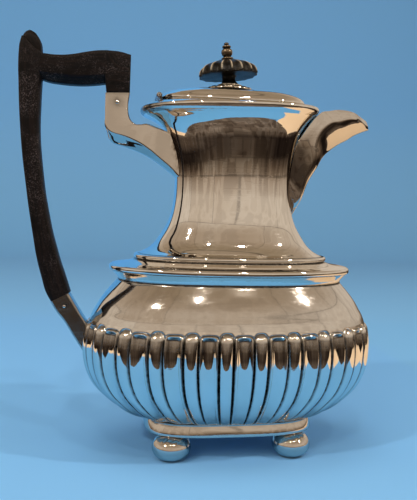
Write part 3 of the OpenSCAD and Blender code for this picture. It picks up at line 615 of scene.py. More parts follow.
# %% Flute and lobe relief
FLUTES = 24
PITCH = 18.5
# Half widths of a flute and a lobe, as shares of the pitch, and the lobe's place in it.
HALF_FLUTE = 0.285
HALF_LOBE = 0.215
LOBE_PLACE = 0.785
# [share of the way from the middle to the edge, mm out]
flute_cut = fair([[0, -1.3], [0.3, -1.1], [0.52, -0.5], [0.68, 0.2], [0.79, 0.62], [0.87, 0.5], [0.93, -0.2],
                  [0.97, -0.8], [1.0, -1.0]], 12)
lobe_cut = fair([[0, 1.95], [0.3, 1.8], [0.55, 1.4], [0.75, 0.8], [0.88, 0.05], [0.95, -0.55],
                 [1.0, -1.0]], 12)


def ramp_up(value, start, length):
    """0 up to the start, rising evenly to 1 over the length."""
    return np.clip((value - start) / length, 0, 1)


def bell(value, reach, power=2):
    """1 at nought, falling off as exp of minus (value / reach) to the power."""
    return np.exp(-(value / reach) ** power)


def arch_distance(across, below, power):
    """1 on an arch: |across| on the straight sides, over the top the root of the sum of the two powers."""
    over = (np.abs(across) ** power + np.maximum(0, 1 - below) ** power) ** (1 / power)
    return np.where(below < 1, over, np.abs(across))


def fluting(u, z, a):
    """Relief in mm, and a dark mark, at the part u round and height z where the half length is a. The relief
    is the cut of the flute or lobe read at its arch distance, and a narrow groove between them. The dark
    mark is tarnish, full in the grooves; under the arches, in the hollows' upper ends and near the foot it
    is painted shade."""
    p = np.mod(FLUTES * u + HALF_FLUTE, 1)
    flute_x = (np.mod(p - HALF_FLUTE + 0.5, 1) - 0.5) / HALF_FLUTE
    lobe_x = (np.mod(p - LOBE_PLACE + 0.5, 1) - 0.5) / HALF_LOBE
    flute = arch_distance(flute_x, (Z_SEAM - 1.9 - z) / 3.4, 3.0)
    lobe = arch_distance(lobe_x, (Z_SEAM - 1.1 - z) / 4.4, 2.2)
    off_flute = (flute - 1) * HALF_FLUTE * PITCH
    off_lobe = (lobe - 1) * HALF_LOBE * PITCH
    off = np.minimum(off_flute, off_lobe)
    drop = Z_SEAM - z
    relief = -(0.45 + 0.55 * ramp_up(drop, 4, 2)) * bell(np.maximum(off, 0), 0.45)
    relief = np.where(off_lobe < 0, np.interp(lobe, lobe_cut[:, 0], lobe_cut[:, 1]), relief)
    relief = np.where(off_flute < 0, np.interp(flute, flute_cut[:, 0], flute_cut[:, 1]), relief)
    relief = relief * a / A_BOWL * (0.55 + 0.45 * ramp_up(z, Z_BOWL, 5)) * ramp_up(drop, 0, 0.7)
    darkening = bell(off, 0.9, 4) * (0.55 + 0.45 * ramp_up(drop, 4, 3)) * ramp_up(drop, 0.3, 1.2)
    # Painted shade: dark under the arches, in the hollows' upper ends and near the foot.
    shade_under_arch = 0.95 * bell(flute - 0.4, 0.3) * (off_flute < 0) * (1 - ramp_up(drop, 4.8, 1.2))
    hollow = np.minimum(flute, lobe) < 0.85
    shade_in_upper_end = 0.42 * hollow * (1 - ramp_up(drop, 9, 3)) * ramp_up(drop, 3.5, 1.5)
    shade_near_foot = 0.5 * bell(z - Z_BOWL - 4, 4.2)
    return relief, np.maximum.reduce(np.broadcast_arrays(darkening, shade_under_arch, shade_in_upper_end, shade_near_foot))


for name, place in (("flute", 0.0), ("lobe", 0.5 / FLUTES)):
    print(name, "relief", round(float(fluting(place, 50.0, A_BOWL)[0]), 2), "mm")

# %% Build the bowl
BOWL_WALL = 1.9
# In each pitch the columns crowd within this share of its two grooves, at 0 and at a flute's width.
CROWDED = 0.075
SECOND = 2 * HALF_FLUTE
near_groove = np.linspace(-CROWDED, CROWDED, 10)
in_flute = np.linspace(CROWDED, SECOND - CROWDED, 10)[1:-1]
in_lobe = np.linspace(SECOND + CROWDED, 1 - CROWDED, 8)[1:-1]
places = np.sort(np.mod(np.concatenate([near_groove, near_groove + SECOND, in_flute, in_lobe]), 1))
u = ((np.arange(FLUTES)[:, None] + places[None, :] - HALF_FLUTE) / FLUTES).reshape(-1)
angle = even_angle(u)[None, :]
a, z = bowl_rows.T[:, :, None]
relief, darkening = fluting(u[None, :], z, a)
r = a * polar_radius(Q_BODY, N_BODY, angle) + relief
outside = np.stack([AXIS_X + r * np.cos(angle), r * np.sin(angle), np.broadcast_to(z, r.shape)], -1)
# [share of A_BOWL, height] down the inside, then the floor of the bowl
wall_line = [[share * A_BOWL - BOWL_WALL, height] for share, height in (
    (SEAM_SHARE, 75.7), (0.988, 69.9), (1, 60.7), (0.96, 48), (0.86, 35), (0.76, 28))]
wall_line = fair(wall_line + [[57, 24.2], [50, 22.6], [44, 22.2]], 2)
inside = ring_rows(oval(wall_line, Q_BODY - 0.006, N_BODY), u)
# Outside: groove tarnish and painted shade; the inside gets 0.25 throughout.
dark = 0.97 * np.concatenate([darkening, np.full(inside.shape[:2], 0.25)])
grid = np.concatenate([outside, inside])
make_piece("fluted_bowl", grid, silver, "pot", ["bowl"], caps=True, crease=50, tarnish=dark)

# %% [markdown]
# ## Shoulder, ledge and bead
# Above the flutes the bowl turns in as a plain shoulder to a sharp cove, then
# flares out under a thin projecting ledge. The ledge is a separate moulding
# whose top sweeps in, hollow, to a half-round bead at the root of the neck.
# Each is a closed section swept round the same oval as the bowl.

# %% Build the shoulder
A_SEAM = A_BOWL * SEAM_SHARE
A_COVE = 66.3
Z_COVE = 97.7
A_LEDGE = 71.5
Z_LEDGE = 105.2
SHOULDER_PAINTED_SHADE = 0.13
fall = A_SEAM - A_COVE
swell = placed([[0, 0], [-0.075 * fall, 2.9], [-0.2 * fall, 6.2], [-0.38 * fall, 10.8], [-0.65 * fall, 16.1],
                [-0.88 * fall, 20.0], [-fall, Z_COVE - Z_SEAM]], A_SEAM, Z_SEAM)
swell = fair(swell, 8)
cove = fair(placed([[0, 0], [-0.1, 0.9], [0.3, 2.0], [1.6, 3.6], [3.9, Z_LEDGE - 1.8 - Z_COVE]],
                   A_COVE, Z_COVE), 6)
outer = joined(swell, cove)
section = oval(joined(outer, outer[::-4] - [1.5, 0]), Q_BODY, N_BODY)
dark = wear_rows(section, [[A_COVE, Z_COVE + 0.6]], 0.8)
# Painted shade: the shoulder below the cove is darkened all over.
dark[section[:, 1] < Z_COVE - 0.5] += SHOULDER_PAINTED_SHADE
make_piece("shoulder_sheet", ring_rows(section), silver, "pot", ["shoulder"], loop=True, tarnish=dark)

# %% Build the ledge
A_BEAD = 56.0
Z_BEAD = 111.6
under = [[A_COVE + 2.3, Z_LEDGE - 1.8], [A_LEDGE - 1.1, Z_LEDGE - 1.8]]
edge = fair(placed([[-1.1, -1.8], [-0.35, -1.3], [0, -0.2], [-0.25, 0.9], [-1.2, 1.6]], A_LEDGE, Z_LEDGE), 5)
slope = fair([[A_LEDGE - 1.2, Z_LEDGE + 1.6], [A_BEAD + 10.2, Z_LEDGE + 2.0], [A_BEAD + 6.6, Z_LEDGE + 2.6],
              [A_BEAD + 3.2, Z_LEDGE + 3.6], [A_BEAD, Z_BEAD - 1.3]], 8)
below = [[A_BEAD - 3.4, Z_BEAD - 1.3], [A_BEAD - 3.4, Z_BEAD - 2.6], [A_BEAD + 3.1, Z_LEDGE + 1.6],
         [A_BEAD + 8.5, Z_LEDGE + 0.6]]
section = oval(joined(under, edge, slope, below), Q_BODY, N_BODY)
dark = wear_rows(section, [[A_COVE + 4, Z_LEDGE - 1.8], [A_BEAD + 0.8, Z_BEAD - 1.6]], 0.9)
make_piece("ledge_mould", ring_rows(section), silver, "pot", ["ledge_moulding"], loop=True, tarnish=dark)

# %% Build the bead
arc = np.radians(np.linspace(-90, 90, 15))
half_round = np.stack([A_BEAD + 1.43 * np.cos(arc) ** 0.9, Z_BEAD + 1.3 * np.sin(arc)], -1)
section = oval(joined([[A_BEAD - 3, Z_BEAD - 1.3]], half_round, [[A_BEAD - 3, Z_BEAD + 1.3]]), Q_BODY, N_BODY)
make_piece("neck_root_bead", ring_rows(section), silver, "pot", ["neck_bead"], loop=True)

# %% [markdown]
# ## The neck and its strainer
# The neck is one sheet seamed and hammered to a waist, flaring down to the
# bead and up to the lip. Its plan narrows and slides back towards the handle
# as it rises. Behind the spout the wall is pierced with round holes that hold
# back coffee grounds; they are cut with a boolean here.

# %% Build the neck
A_WAIST = 34.4
Z_WAIST = 152.7
Z_LIP = 198.2
Z_NECK0 = Z_BEAD + 1.3
Z_NECK1 = Z_LIP - 3.6
A_NECK0 = A_BEAD - 1
A_NECK1 = A_LIP - 2.2
# [share of the height, share of the way from the waist's size to the foot's or the lip's]
foot = [[0, 1], [0.055, 0.78], [0.14, 0.57], [0.29, 0.36], [0.45, 0.185], [0.6, 0.085], [0.78, 0.025], [1, 0]]
flare = [[0.22, 0.015], [0.42, 0.085], [0.58, 0.19], [0.72, 0.31], [0.83, 0.47], [0.92, 0.7], [1, 1]]
lower = [[A_WAIST + w * (A_NECK0 - A_WAIST), Z_NECK0 + h * (Z_WAIST - Z_NECK0), Q_BODY,
          N_NECK - w * (N_NECK - N_BODY), 0] for h, w in foot]
upper = [[A_WAIST + w * (A_NECK1 - A_WAIST), Z_WAIST + h * (Z_NECK1 - Z_WAIST), Q_BODY + w * (Q_LIP - Q_BODY),
          N_NECK, w] for h, w in flare]
neck_section = fair(lower + upper, 9)
section = joined(neck_section, neck_section[::-3] - [1.4, 0, 0, 0, 0])
dark = wear_rows(section, [[A_NECK0, Z_NECK0]], 0.7)
neck = make_piece("neck_sheet", ring_rows(section), silver, "pot", ["neck"], loop=True, tarnish=dark)
print("neck height", round(Z_NECK1 - Z_NECK0, 1), "mm")

# %% Drill the strainer
def combined(piece, others, operation, crease):
    """Applies a boolean of the piece with the others to its mesh and removes the others."""
    for other in others:
        step = piece.modifiers.new("step", "BOOLEAN")
        step.operation = operation
        step.solver = "EXACT"
        step.object = other
    bpy.context.view_layer.update()
    done = bpy.data.meshes.new_from_object(piece.evaluated_get(bpy.context.evaluated_depsgraph_get()))
    piece.modifiers.clear()
    piece.data = done
    for other in others:
        bpy.data.objects.remove(other)
    done.shade_smooth()
    done.set_sharp_from_angle(angle=math.radians(crease))
    return len(done.polygons)


def drill_rods(holes, radius, start, length):
    """One mesh of rods along x with 24 sides: at each (y, z), two circles and the faces between them."""
    n = 24
    turn = evenly(n) * 2 * np.pi
    rods = []
    faces = []
    for k, (y, z) in enumerate(holes):
        for x in (start, start + length):
            rods.append(np.stack([np.full(n, x), y + radius * np.cos(turn), z + radius * np.sin(turn)], -1))
        b = 2 * n * k
        faces += [[b + i, b + (i + 1) % n, b + n + (i + 1) % n, b + n + i] for i in range(n)]
        faces += [list(range(b + n - 1, b - 1, -1)), list(range(b + n, b + 2 * n))]
    mesh = bpy.data.meshes.new("drill_rods")
    mesh.from_pydata((np.concatenate(rods) * MM).tolist(), [], faces)
    return into_scene("drill_rods", mesh)


HOLE_STEP = 4.5
ROW_STEP = 4.2
strainer_z = Z_WAIST + 0.5 * (Z_LIP - Z_WAIST)
holes = [(c * HOLE_STEP, strainer_z + row * ROW_STEP)
         for row in range(-2, 3) for c in ((-1, 0, 1) if row % 2 == 0 else (-0.5, 0.5))]
rods = drill_rods(holes, 1.5, AXIS_X + A_WAIST - 6, 18)
print("strainer holes:", len(holes), "faces:", combined(neck, [rods], "DIFFERENCE", 32))

# %% [markdown]
# ## The rim
# A heavier wire is soldered round the lip: its outside rolls over from the
# flare, and its top slopes up to the seat that the lid rests on. At the front
# and the back the top dips a little, so the wire shows below the lid there.
# At the handle's end the wire is painted dark, a painted reflection of the dark wooden handle.

# %% Build the rim
A_MOUTH = 41.2
Z_MOUTH = Z_LIP + 4.6


def lip_section(line):
    """Stations [a, z, q, lip] on the neck's squareness."""
    return np.array([[a, z, q, N_NECK, lip] for a, z, q, lip in line])


roll = fair([[A_NECK1, Z_NECK1, Q_LIP, 1], [A_NECK1 + 1.3, Z_NECK1 + 0.9, 0.585, 1],
             [A_LIP + 0.25, Z_LIP - 1.7, 0.589, 1], [A_LIP + 0.85, Z_LIP - 0.1, 0.597, 1],
             [A_LIP + 0.35, Z_LIP + 1.25, 0.605, 1], [A_LIP - 0.9, Z_LIP + 1.8, 0.616, 1]], 6)
top = fair([[A_LIP - 0.9, Z_LIP + 1.8, 0.616, 1], [A_LIP - 4, Z_LIP + 2.6, 0.63, 0.8],
            [A_MOUTH + 3, Z_MOUTH - 0.9, Q_MOUTH - 0.01, 0.5],
            [A_MOUTH + 1.3, Z_MOUTH - 0.1, Q_MOUTH, 0.5]], 5)
seat = [[A_MOUTH + 1.0, Z_MOUTH, Q_MOUTH, 0.5], [A_MOUTH, Z_MOUTH, Q_MOUTH, 0.5],
        [A_MOUTH, Z_MOUTH - 1.6, Q_MOUTH, 0.5], [A_MOUTH + 3, Z_MOUTH - 2.3, Q_MOUTH - 0.02, 0.5],
        [A_LIP - 2.2, Z_LIP, Q_LIP, 1], [A_NECK1 - 1.5, Z_NECK1, Q_LIP, 1]]
section = lip_section(joined(roll, top, seat))
grid = ring_rows(section)


def front_and_back(grid):
    """1 at each ring's front and back, 0 at its ends: the square of y over the ring's largest y."""
    return (grid[..., 1] / np.abs(grid[..., 1]).max(axis=1, keepdims=True)) ** 2


row_a, row_z = section.T[:2, :, None]
on_top = bell(row_a - A_MOUTH - 3.2, 2.2) * (row_z > Z_LIP + 1.85) * (row_a > A_MOUTH + 1.25)
grid[..., 2] -= 1.7 * on_top * front_and_back(grid)
# Painted reflection: the wire darkens towards the handle's end.
painted_handle_reflection = 0.6 * ramp_up(-grid[..., 0], 18, 8) * (row_a > A_LIP - 1.2)
dark = np.maximum(wear_rows(section, [[A_MOUTH + 0.5, Z_MOUTH]], 0.6)[:, None], painted_handle_reflection)
make_piece("rim_wire", grid, silver, "pot", ["rim_moulding"], loop=True, tarnish=dark)

# %% [markdown]
# ## The beak spout
# The spout is bent up from sheet, a deep trough with a rounded keel, and
# soldered over the strainer. In numbers it is a line of cross-sections, each
# between two upper edges and a keel: deep and full near the neck, with a soft
# chine towards the beak, and slightly wavy, as beaten sheet is. Where it meets
# the neck its points are held just inside the neck's sheet, a clean joint.

# %% Keep a joint inside the sheet it is soldered to
def hold_out(points, stations, depth):
    """Moves points that lie deeper than depth inside a stack of rings out to that depth, level by level."""
    s = np.asarray(stations, float)
    s = s[np.argsort(s[:, 1])]
    x = points[..., 0] - AXIS_X
    y = points[..., 1]
    z = points[..., 2]
    a, q, n, lip = [np.interp(z, s[:, 1], s[:, i]) for i in (0, 2, 3, 4)]
    cx = -lip * LIP_BACK
    edge = a * polar_radius(q, n, np.arctan2(y, x - cx)) - depth
    r = np.hypot(x - cx, y)
    inside = (r < edge) & (z > s[0, 1]) & (z < s[-1, 1])
    k = np.where(inside, edge / np.maximum(r, 1e-6), 1)
    return np.stack([AXIS_X + cx + (x - cx) * k, y * k, z], -1)


lip_rings = lip_section([[A_LIP + 0.9, Z_LIP, Q_LIP, 1], [A_LIP - 0.8, Z_LIP + 1.9, Q_LIP, 1]])
neck_outside = np.vstack([neck_section, lip_rings])
print("joint rings:", len(neck_outside))

# %% Spout line and sections
SPOUT_REACH = 84.2
# The keel and the upper edge are (x, z) lines, and each pair of their points spans one cross-section.
keel_line = np.vstack([
    placed([[-0.8, -21], [1.5, -16.6], [3.8, -12], [6.5, -6.7], [10.5, 4.5], [16.2, 13.8], [23.2, 22.9],
            [27.6, 26.4], [31.8, 29.2], [36.3, 31.6], [40.8, 34.6]], A_WAIST, Z_WAIST),
    placed([[-5.4, -9.2], [-1.6, -7.7], [0, -7.2]], SPOUT_REACH, Z_LIP)])
edge_line = np.vstack([
    placed([[-1.5, -19.5], [-1.5, -13.5], [-1.5, -5.5], [-1.5, 2], [-1, 13], [1, 23], [5, 32.5], [11, 41]],
           A_WAIST, Z_WAIST),
    placed([[-2, 0.6], [3, 1.8], [10, 3], [17.5, 2.5], [23.4, 0.3]], A_LIP, Z_LIP),
    [[SPOUT_REACH - 2.4, Z_LIP - 2.2]]])
half_width = [0.7, 3.2, 6, 8.5, 10.5, 11.8, 12.6, 12.8, 12.6, 12, 10.8, 9.4, 7.4, 3.4]
spout_line = fair(np.column_stack([keel_line, edge_line, half_width]), 7)


def whole_plan(half):
    """Smooths half a plan [share of half width, share of depth] and mirrors it to a full trough."""
    half = fair(half, 3)
    return np.vstack([half * [-1, 1], half[-2::-1]])


deep_plan = whole_plan([[1.0, 0.0], [1.0, 0.3], [1.0, 0.6], [0.99, 0.8], [0.92, 0.92], [0.72, 0.975],
                        [0.45, 0.992], [0.2, 0.998], [0.0, 1.0]])
beak_plan = whole_plan([[1.0, 0.0], [1.0, 0.2], [0.985, 0.35], [0.93, 0.48], [0.80, 0.64], [0.62, 0.79],
                        [0.42, 0.905], [0.2, 0.98], [0.0, 1.0]])
print("spout sections:", len(spout_line), "points across:", len(deep_plan))

# %% Build the spout
def trough(line, thin):
    """Sections edge to keel to edge: the deep plan eases into the beak plan over 14 mm; thin shrinks them."""
    kx, kz, ex, ez, w = [c[:, None] for c in line.T]
    far = ramp_up(kx, A_WAIST + 14, 14)
    far = far * far * (3 - 2 * far)
    across, deep = ((1 - far) * a + far * b for a, b in zip(deep_plan.T[:, None, :], beak_plan.T[:, None, :]))
    v = np.linspace(-1, 1, across.shape[1])
    across = across + (0.014 * np.sin(13 * v) + 0.008 * np.sin(29 * v + 1)) * (1 - v * v)
    deep = deep * np.maximum(0.05, 1 - thin / np.maximum(2, np.hypot(kx - ex, kz - ez)))
    x = AXIS_X + ex + (kx - ex) * deep
    return np.stack([x, np.maximum(0.3, w - thin) * across, ez + (kz - ez) * deep], -1)


grid = np.concatenate([trough(spout_line, 0), trough(spout_line, 1.4)[:, ::-1]], axis=1)
grid = hold_out(grid, neck_outside, 1.2)
make_piece("beak_spout", grid, silver_with_painted_shade, "pot", ["spout"], caps=True, crease=42)

# %% [markdown]
# ## Collar, plate and bun feet
# Under the bowl a plain band, squarer than the bowl, holds a plate, and four
# turned bun feet are screwed to the plate. A bun is a circle flattened at top
# and bottom, so a single turned profile is enough; it is set down four times.

# %% Build the collar and the plate
A_COLLAR = 48.0
Z_COLLAR = 13.6
COLLAR_TALL = Z_BOWL - Z_COLLAR
COLLAR_WALL = 1.4
lower = fair([[0.2, 0], [0.8, 0.2], [0.95, 1.0], [0.8, 2.0]], 4)
upper = fair([[0.8, 2.0], [0.45, 3.3], [-0.05, 4.7], [-0.8, COLLAR_TALL - 0.9]], 5)
inner = [[-0.6, COLLAR_TALL - 0.4], [-0.7, COLLAR_TALL], [-COLLAR_WALL, COLLAR_TALL], [-COLLAR_WALL, 0]]
section = oval(placed(joined(lower, upper, inner), A_COLLAR, Z_COLLAR), Q_COLLAR, N_COLLAR)
dark = wear_rows(section, [[A_COLLAR + 0.2, Z_BOWL]], 0.9)
make_piece("foot_collar_band", ring_rows(section, evenly(240)), silver_with_painted_shade, "pot", ["foot_collar"],
           loop=True, tarnish=dark)
A_PLATE = A_COLLAR - COLLAR_WALL
plate_line = [[0.2 * A_PLATE, 0.2], [A_PLATE, 0.2], [A_PLATE, 1.6], [0.2 * A_PLATE, 1.6]]
section = oval(placed(plate_line, 0, Z_COLLAR), Q_COLLAR, N_COLLAR)
make_piece("foot_plate_sheet", ring_rows(section, evenly(240)), dull_silver, "pot", ["foot_plate"], caps=True)

# %% Turned pieces
def leaned(points, degrees, pivot):
    """Turns points about the y direction through the pivot; positive degrees lean towards the handle."""
    k = math.radians(-degrees)
    d = points - np.array(pivot, float)
    x = d[..., 0] * math.cos(k) + d[..., 2] * math.sin(k)
    z = -d[..., 0] * math.sin(k) + d[..., 2] * math.cos(k)
    return np.stack([x, d[..., 1], z], -1) + np.array(pivot, float)


def turned(line, centre, columns=96):
    """Profile [radius, height] turned round a vertical line through centre."""
    t = evenly(columns) * 2 * np.pi
    r, z = np.asarray(line, float).T[:, :, None]
    return np.stack(np.broadcast_arrays(r * np.cos(t), r * np.sin(t), z), -1) + np.array(centre, float)


# The bun: most of an upright oval between latitudes of 66 degrees, with a narrow neck up to the plate.
R_BUN = 10.9
HALF_BUN = 6.9
FOOT_X = 34.2
FOOT_Y = 23
t = np.radians(np.linspace(-66, 66, 40))
bun = np.stack([R_BUN * np.cos(t) ** 0.8, HALF_BUN + HALF_BUN * np.sin(t) / math.sin(math.radians(72))], -1)
bun_line = joined([[3.2, 0.0], [4.4, 0.05]], bun, placed([[3.4, -0.1], [2.6, 0], [2.6, 0.2]], 0, Z_COLLAR))
dark = wear_rows(bun_line, [[3.2, 0], [4, Z_COLLAR]], 1.6)
for depth, y in (("front_", -FOOT_Y), ("back_", FOOT_Y)):
    for side, x in (("left", -FOOT_X), ("right", FOOT_X)):
        grid = turned(bun_line, (AXIS_X + x, y, 0))
        make_piece("bun_foot_" + depth + side, grid, silver_with_painted_shade, "pot", ["foot_" + depth + side],
                   caps=True, tarnish=dark)

# %% [markdown]
# ## Handle brackets
# The upper bracket is a hollow silver box that grows out of the neck and
# turns up to take the handle's tenon, held by one pin. Its face is flat and
# its underside comes to a keel. The lower one is a short tapering tube on the
# bowl. Both are chains of cross-sections with slightly softened corners.

# %% Section chains
def chain(line, plan):
    """Sections along a line of [outer x, z, inner x, z, half width, keel dx, keel dz]; plan rows are
    [share from outer to inner, mm along, share of keel, share of width, mm of width]."""
    ox, oz, ix, iz, w, kx, kz = [c[:, None] for c in np.asarray(line, float).T]
    f, mm, keel, g, d = [c[None, :] for c in np.asarray(plan, float).T]
    length = np.hypot(ix - ox, iz - oz)
    x = ox + (ix - ox) * f + (ix - ox) / length * mm + kx * keel
    z = oz + (iz - oz) * f + (iz - oz) / length * mm + kz * keel
    return np.stack([AXIS_X + x, g * w + d, z], -1)


def both_sides(half):
    """Half a plan, from the top middle to the bottom middle, with its mirror image after it."""
    half = np.asarray(half, float)
    return np.vstack([half, half[-2:0:-1] * [1, 1, 1, -1, -1]])


def hz(z):
    """Pot height of one on the handle's drawing, which has the widest point at 62 and the lip at 199."""
    return Z_WIDE + (z - 62) * (Z_LIP - Z_WIDE) / (199 - 62)


def near_pin(grid, pin, reach):
    """1 at a pin, falling off as exp of minus (distance in the side view / reach) squared."""
    return bell(np.hypot(grid[..., 0] - AXIS_X - pin[0], grid[..., 2] - hz(pin[1])), reach)


UPPER_PIN = (-69.2, 200.4)
LOWER_PIN = (-95.8, 83.4)
print("pins at heights", round(hz(UPPER_PIN[1]), 1), "and", round(hz(LOWER_PIN[1]), 1), "mm")

# %% Upper bracket
bracket_plan = both_sides([
    [0, 0, 0, 0, 0], [0, 0, 0, 0.5, 0], [0, 0, 0, 1, -1.1], [0, 0.1, 0, 1, -0.62], [0, 0.34, 0, 1, -0.28],
    [0, 0.7, 0, 1, -0.06], [0, 1.2, 0, 1, 0], [0, 1.5, 0, 1, 0], [0.3, 0, 0, 1, 0], [0.5, 0, 0, 1, 0],
    [0.7, 0, 0, 1, 0], [1, -1.2, 0, 1, 0], [1, -0.9, 0, 1, 0], [1, -0.4, 0, 1, -0.05], [1, -0.08, 0, 1, -0.2],
    [1, 0, 0.06, 0.95, -0.05], [1, 0, 0.35, 0.74, 0], [1, 0, 0.65, 0.53, 0], [1, 0, 0.93, 0.34, 0],
    [1, 0, 1.0, 0.27, 0], [1, 0, 1.01, 0.12, 0], [1, 0, 1.01, 0, 0]])
upper_line = fair([
    [-62.2, 206, -76.1, 205.3, 7, -0.2, 0], [-63, 197.1, -76.1, 197, 7, -0.2, 0],
    [-62.5, 193.5, -76, 191.5, 7, -0.2, -0.3], [-61, 190.1, -75.8, 186.3, 7, 0.8, -2.5],
    [-58.2, 188.3, -72.1, 182.8, 7.1, 0.8, -5.4], [-55.8, 188.3, -65, 180.9, 7.4, 1.2, -5.6],
    [-52.3, 188.8, -57.3, 177.7, 7.8, 1.8, -5.3], [-47, 187.2, -50.9, 173.8, 8.3, 2.2, -4.8],
    [-39, 184, -44.9, 169.1, 8.8, 2.4, -4.2], [-31, 180, -37.6, 163.1, 9.2, 2.2, -3.6],
    [-27, 177, -33, 158.5, 9.4, 2, -3]], 5)
upper_line[:, [1, 3]] = hz(upper_line[:, [1, 3]])
grid = hold_out(chain(upper_line, bracket_plan), neck_outside, 1.2)
dark = np.clip(0.7 * near_pin(grid, UPPER_PIN, 2.6) + 0.35 * bell(grid[..., 2] - hz(205.6), 1.2), 0, 1)
make_piece("upper_bracket", grid, silver_with_painted_shade, "pot", ["upper_socket"], caps=True,
           crease=40, tarnish=dark)

# %% Lower bracket
tube_plan = both_sides([
    [0, 0, 0, 0, 0], [0, 0, 0, 0.5, 0], [0, 0.12, 0, 0.8, 0], [0, 0.45, 0, 0.955, 0], [0, 1.1, 0, 1, 0],
    [0, 1.4, 0, 1, 0], [0.5, 0, 0, 1, 0], [1, -1.4, 0, 1, 0], [1, -1.1, 0, 1, 0], [1, -0.45, 0, 0.955, 0],
    [1, -0.12, 0, 0.8, 0], [1, 0, 0, 0.5, 0], [1, 0, 0, 0, 0]])
lower_line = fair([
    [-103.6, 85.9, -93.6, 90.8, 6.4, 0, 0], [-100, 80, -91.5, 87.3, 6.35, 0, 0],
    [-96.1, 75.2, -89.3, 83.6, 6.3, 0, 0], [-89, 64, -83.4, 74.5, 6.1, 0, 0],
    [-82.5, 54, -77, 66, 5.8, 0, 0], [-78, 46, -70, 60, 5.4, 0, 0]], 6)
lower_line[:, [1, 3]] = hz(lower_line[:, [1, 3]])
bowl_outside = oval(placed(np.vstack([bowl_rows, swell[1:]]), -1.0), Q_BODY, N_BODY)
grid = hold_out(chain(lower_line, tube_plan), bowl_outside, 0.6)
# The whole tube is darkened, 0.55 all over and more round the pin.
make_piece("lower_bracket", grid, silver, "pot", ["lower_socket"], caps=True, crease=40,
           tarnish=0.55 + 0.4 * near_pin(grid, LOWER_PIN, 2.2))

# %% Bracket pins
def cross_pin(pin, reach, radius):
    """Pin across the pot with domed heads: a short profile turned about the y direction."""
    head = [[0.15, 0], [radius * 0.6, 0.08], [radius * 0.92, 0.3], [radius, 0.6]]
    line = [[r, d - reach] for r, d in head] + [[r, reach - d] for r, d in head[::-1]]
    p = turned(line, (0, 0, 0), 32)
    return np.stack([AXIS_X + pin[0] + p[..., 0], p[..., 2], hz(pin[1]) + p[..., 1]], -1)


for name, pin, reach in (("upper", UPPER_PIN, 7.3), ("lower", LOWER_PIN, 6.5)):
    make_piece(name + "_pin", cross_pin(pin, reach, 1.2), silver, "pot", [name + "_handle_pin"], caps=True,
               crease=50)

# %% [markdown]
# ## The wooden handle
# The handle is sawn from one board, so its faces are flat and its grain runs
# up the grip. The back is softly rounded for the palm, the inside is bevelled
# for the fingers, and the top ends in a thumb rest that is cut back from the
# face. It is drawn as three runs of sections: grip, bar and thumb rest, which
# a boolean joins into one piece.

# %% Runs of the handle
HALF_WOOD = 7.0
wood_plan = both_sides([
    [0, 0, 0, 0, 0], [0, 0.05, 0, 0.5, 0], [0, 0.25, 0, 1, -1.7], [0, 0.6, 0, 1, -0.9],
    [0, 1.15, 0, 1, -0.35], [0, 1.8, 0, 1, -0.08], [0, 2.6, 0, 1, 0], [0.5, 0, 0, 1, 0],
    [1, -0.9, 0, 1, 0], [1, -0.35, 0, 1, -0.1],
    [1, 0.0, 0.05, 1, -0.45], [1, 0, 0.5, 0.72, 0], [1, 0, 0.93, 0.50, 0], [1, 0, 1.0, 0.42, 0],
    [1, 0, 1.0, 0.2, 0], [1, 0, 1.0, 0, 0]])


def wood_run(stations, per):
    """Smoothed stations [outer x, z, inner x, z, mm thinner each side, keel mm], the keel made a vector."""
    s = fair(stations, per)
    s[:, [1, 3]] = hz(s[:, [1, 3]])
    across = s[:, 2:4] - s[:, :2]
    keel = across * (s[:, 5] / np.linalg.norm(across, axis=1))[:, None]
    return np.column_stack([s[:, :4], HALF_WOOD - s[:, 4], keel])


grip_line = wood_run([
    [-103.6, 85.9, -93.6, 90.8, 0.6, 0.8], [-106.5, 91.3, -96.5, 99, 0.4, 1],
    [-109, 99.6, -99.6, 107.5, 0.2, 1.1], [-111.8, 109.7, -102.2, 115.5, 0, 1.2],
    [-114.7, 125, -105.1, 125.3, 0, 1.3],
    [-117.2, 139.3, -107.8, 137.6, 0, 1.4], [-119.3, 153.5, -110.3, 150.9, 0, 1.5],
    [-121, 165, -112.3, 165.3, 0, 1.5], [-122.8, 181.9, -113.8, 182.3, 0, 1.5],
    [-123.9, 196, -113.8, 196.5, 0, 1.5], [-124.6, 210.1, -113.5, 209.1, 0, 1.5],
    [-125, 219, -112.6, 219, 0, 1], [-124.9, 226, -112.2, 225.6, 0, 0.3],
    [-124.6, 230.5, -117.4, 229.8, 0.1, 0.2],
    [-123.6, 235, -121.6, 234.6, 0.4, 0.1]], 7)
bar_line = wood_run([
    [-119, 226.8, -119, 216.5, 0, 2.2], [-114.5, 226.5, -114.3, 215.5, 0, 3],
    [-110.3, 226.1, -109.6, 214.7, 0, 3.9], [-103.5, 225.8, -102.2, 214.2, 0, 4.4],
    [-95.6, 226.6, -94.6, 214, 0, 4.5], [-88.3, 228.3, -87.8, 214.2, 0, 4.5],
    [-81.8, 229.6, -81.6, 214.8, 0, 4.4], [-76.4, 230.1, -76.4, 215.3, 0, 4.0]], 7)
block_line = wood_run([
    [-75.6, 230.1, -75.6, 205.6, 0, 0.4], [-68, 229.7, -68.8, 205.6, 0, 0.4],
    [-62.2, 228.3, -62.3, 206.1, 0.1, 0.4]], 6)
thumb_line = wood_run([
    [-124.6, 222, -110.5, 220, 2.4, 0.3], [-124.6, 227, -112.2, 226.2, 2.2, 0.3],
    [-124.2, 231.4, -112.6, 229.6, 2.2, 0.3], [-123.2, 235.4, -113.1, 232.4, 2.4, 0.3],
    [-121.4, 238.3, -114.2, 235.0, 3.0, 0.2], [-119.4, 239.5, -115.8, 237.4, 4.2, 0.1]], 7)
bar_line = np.vstack([bar_line, block_line])
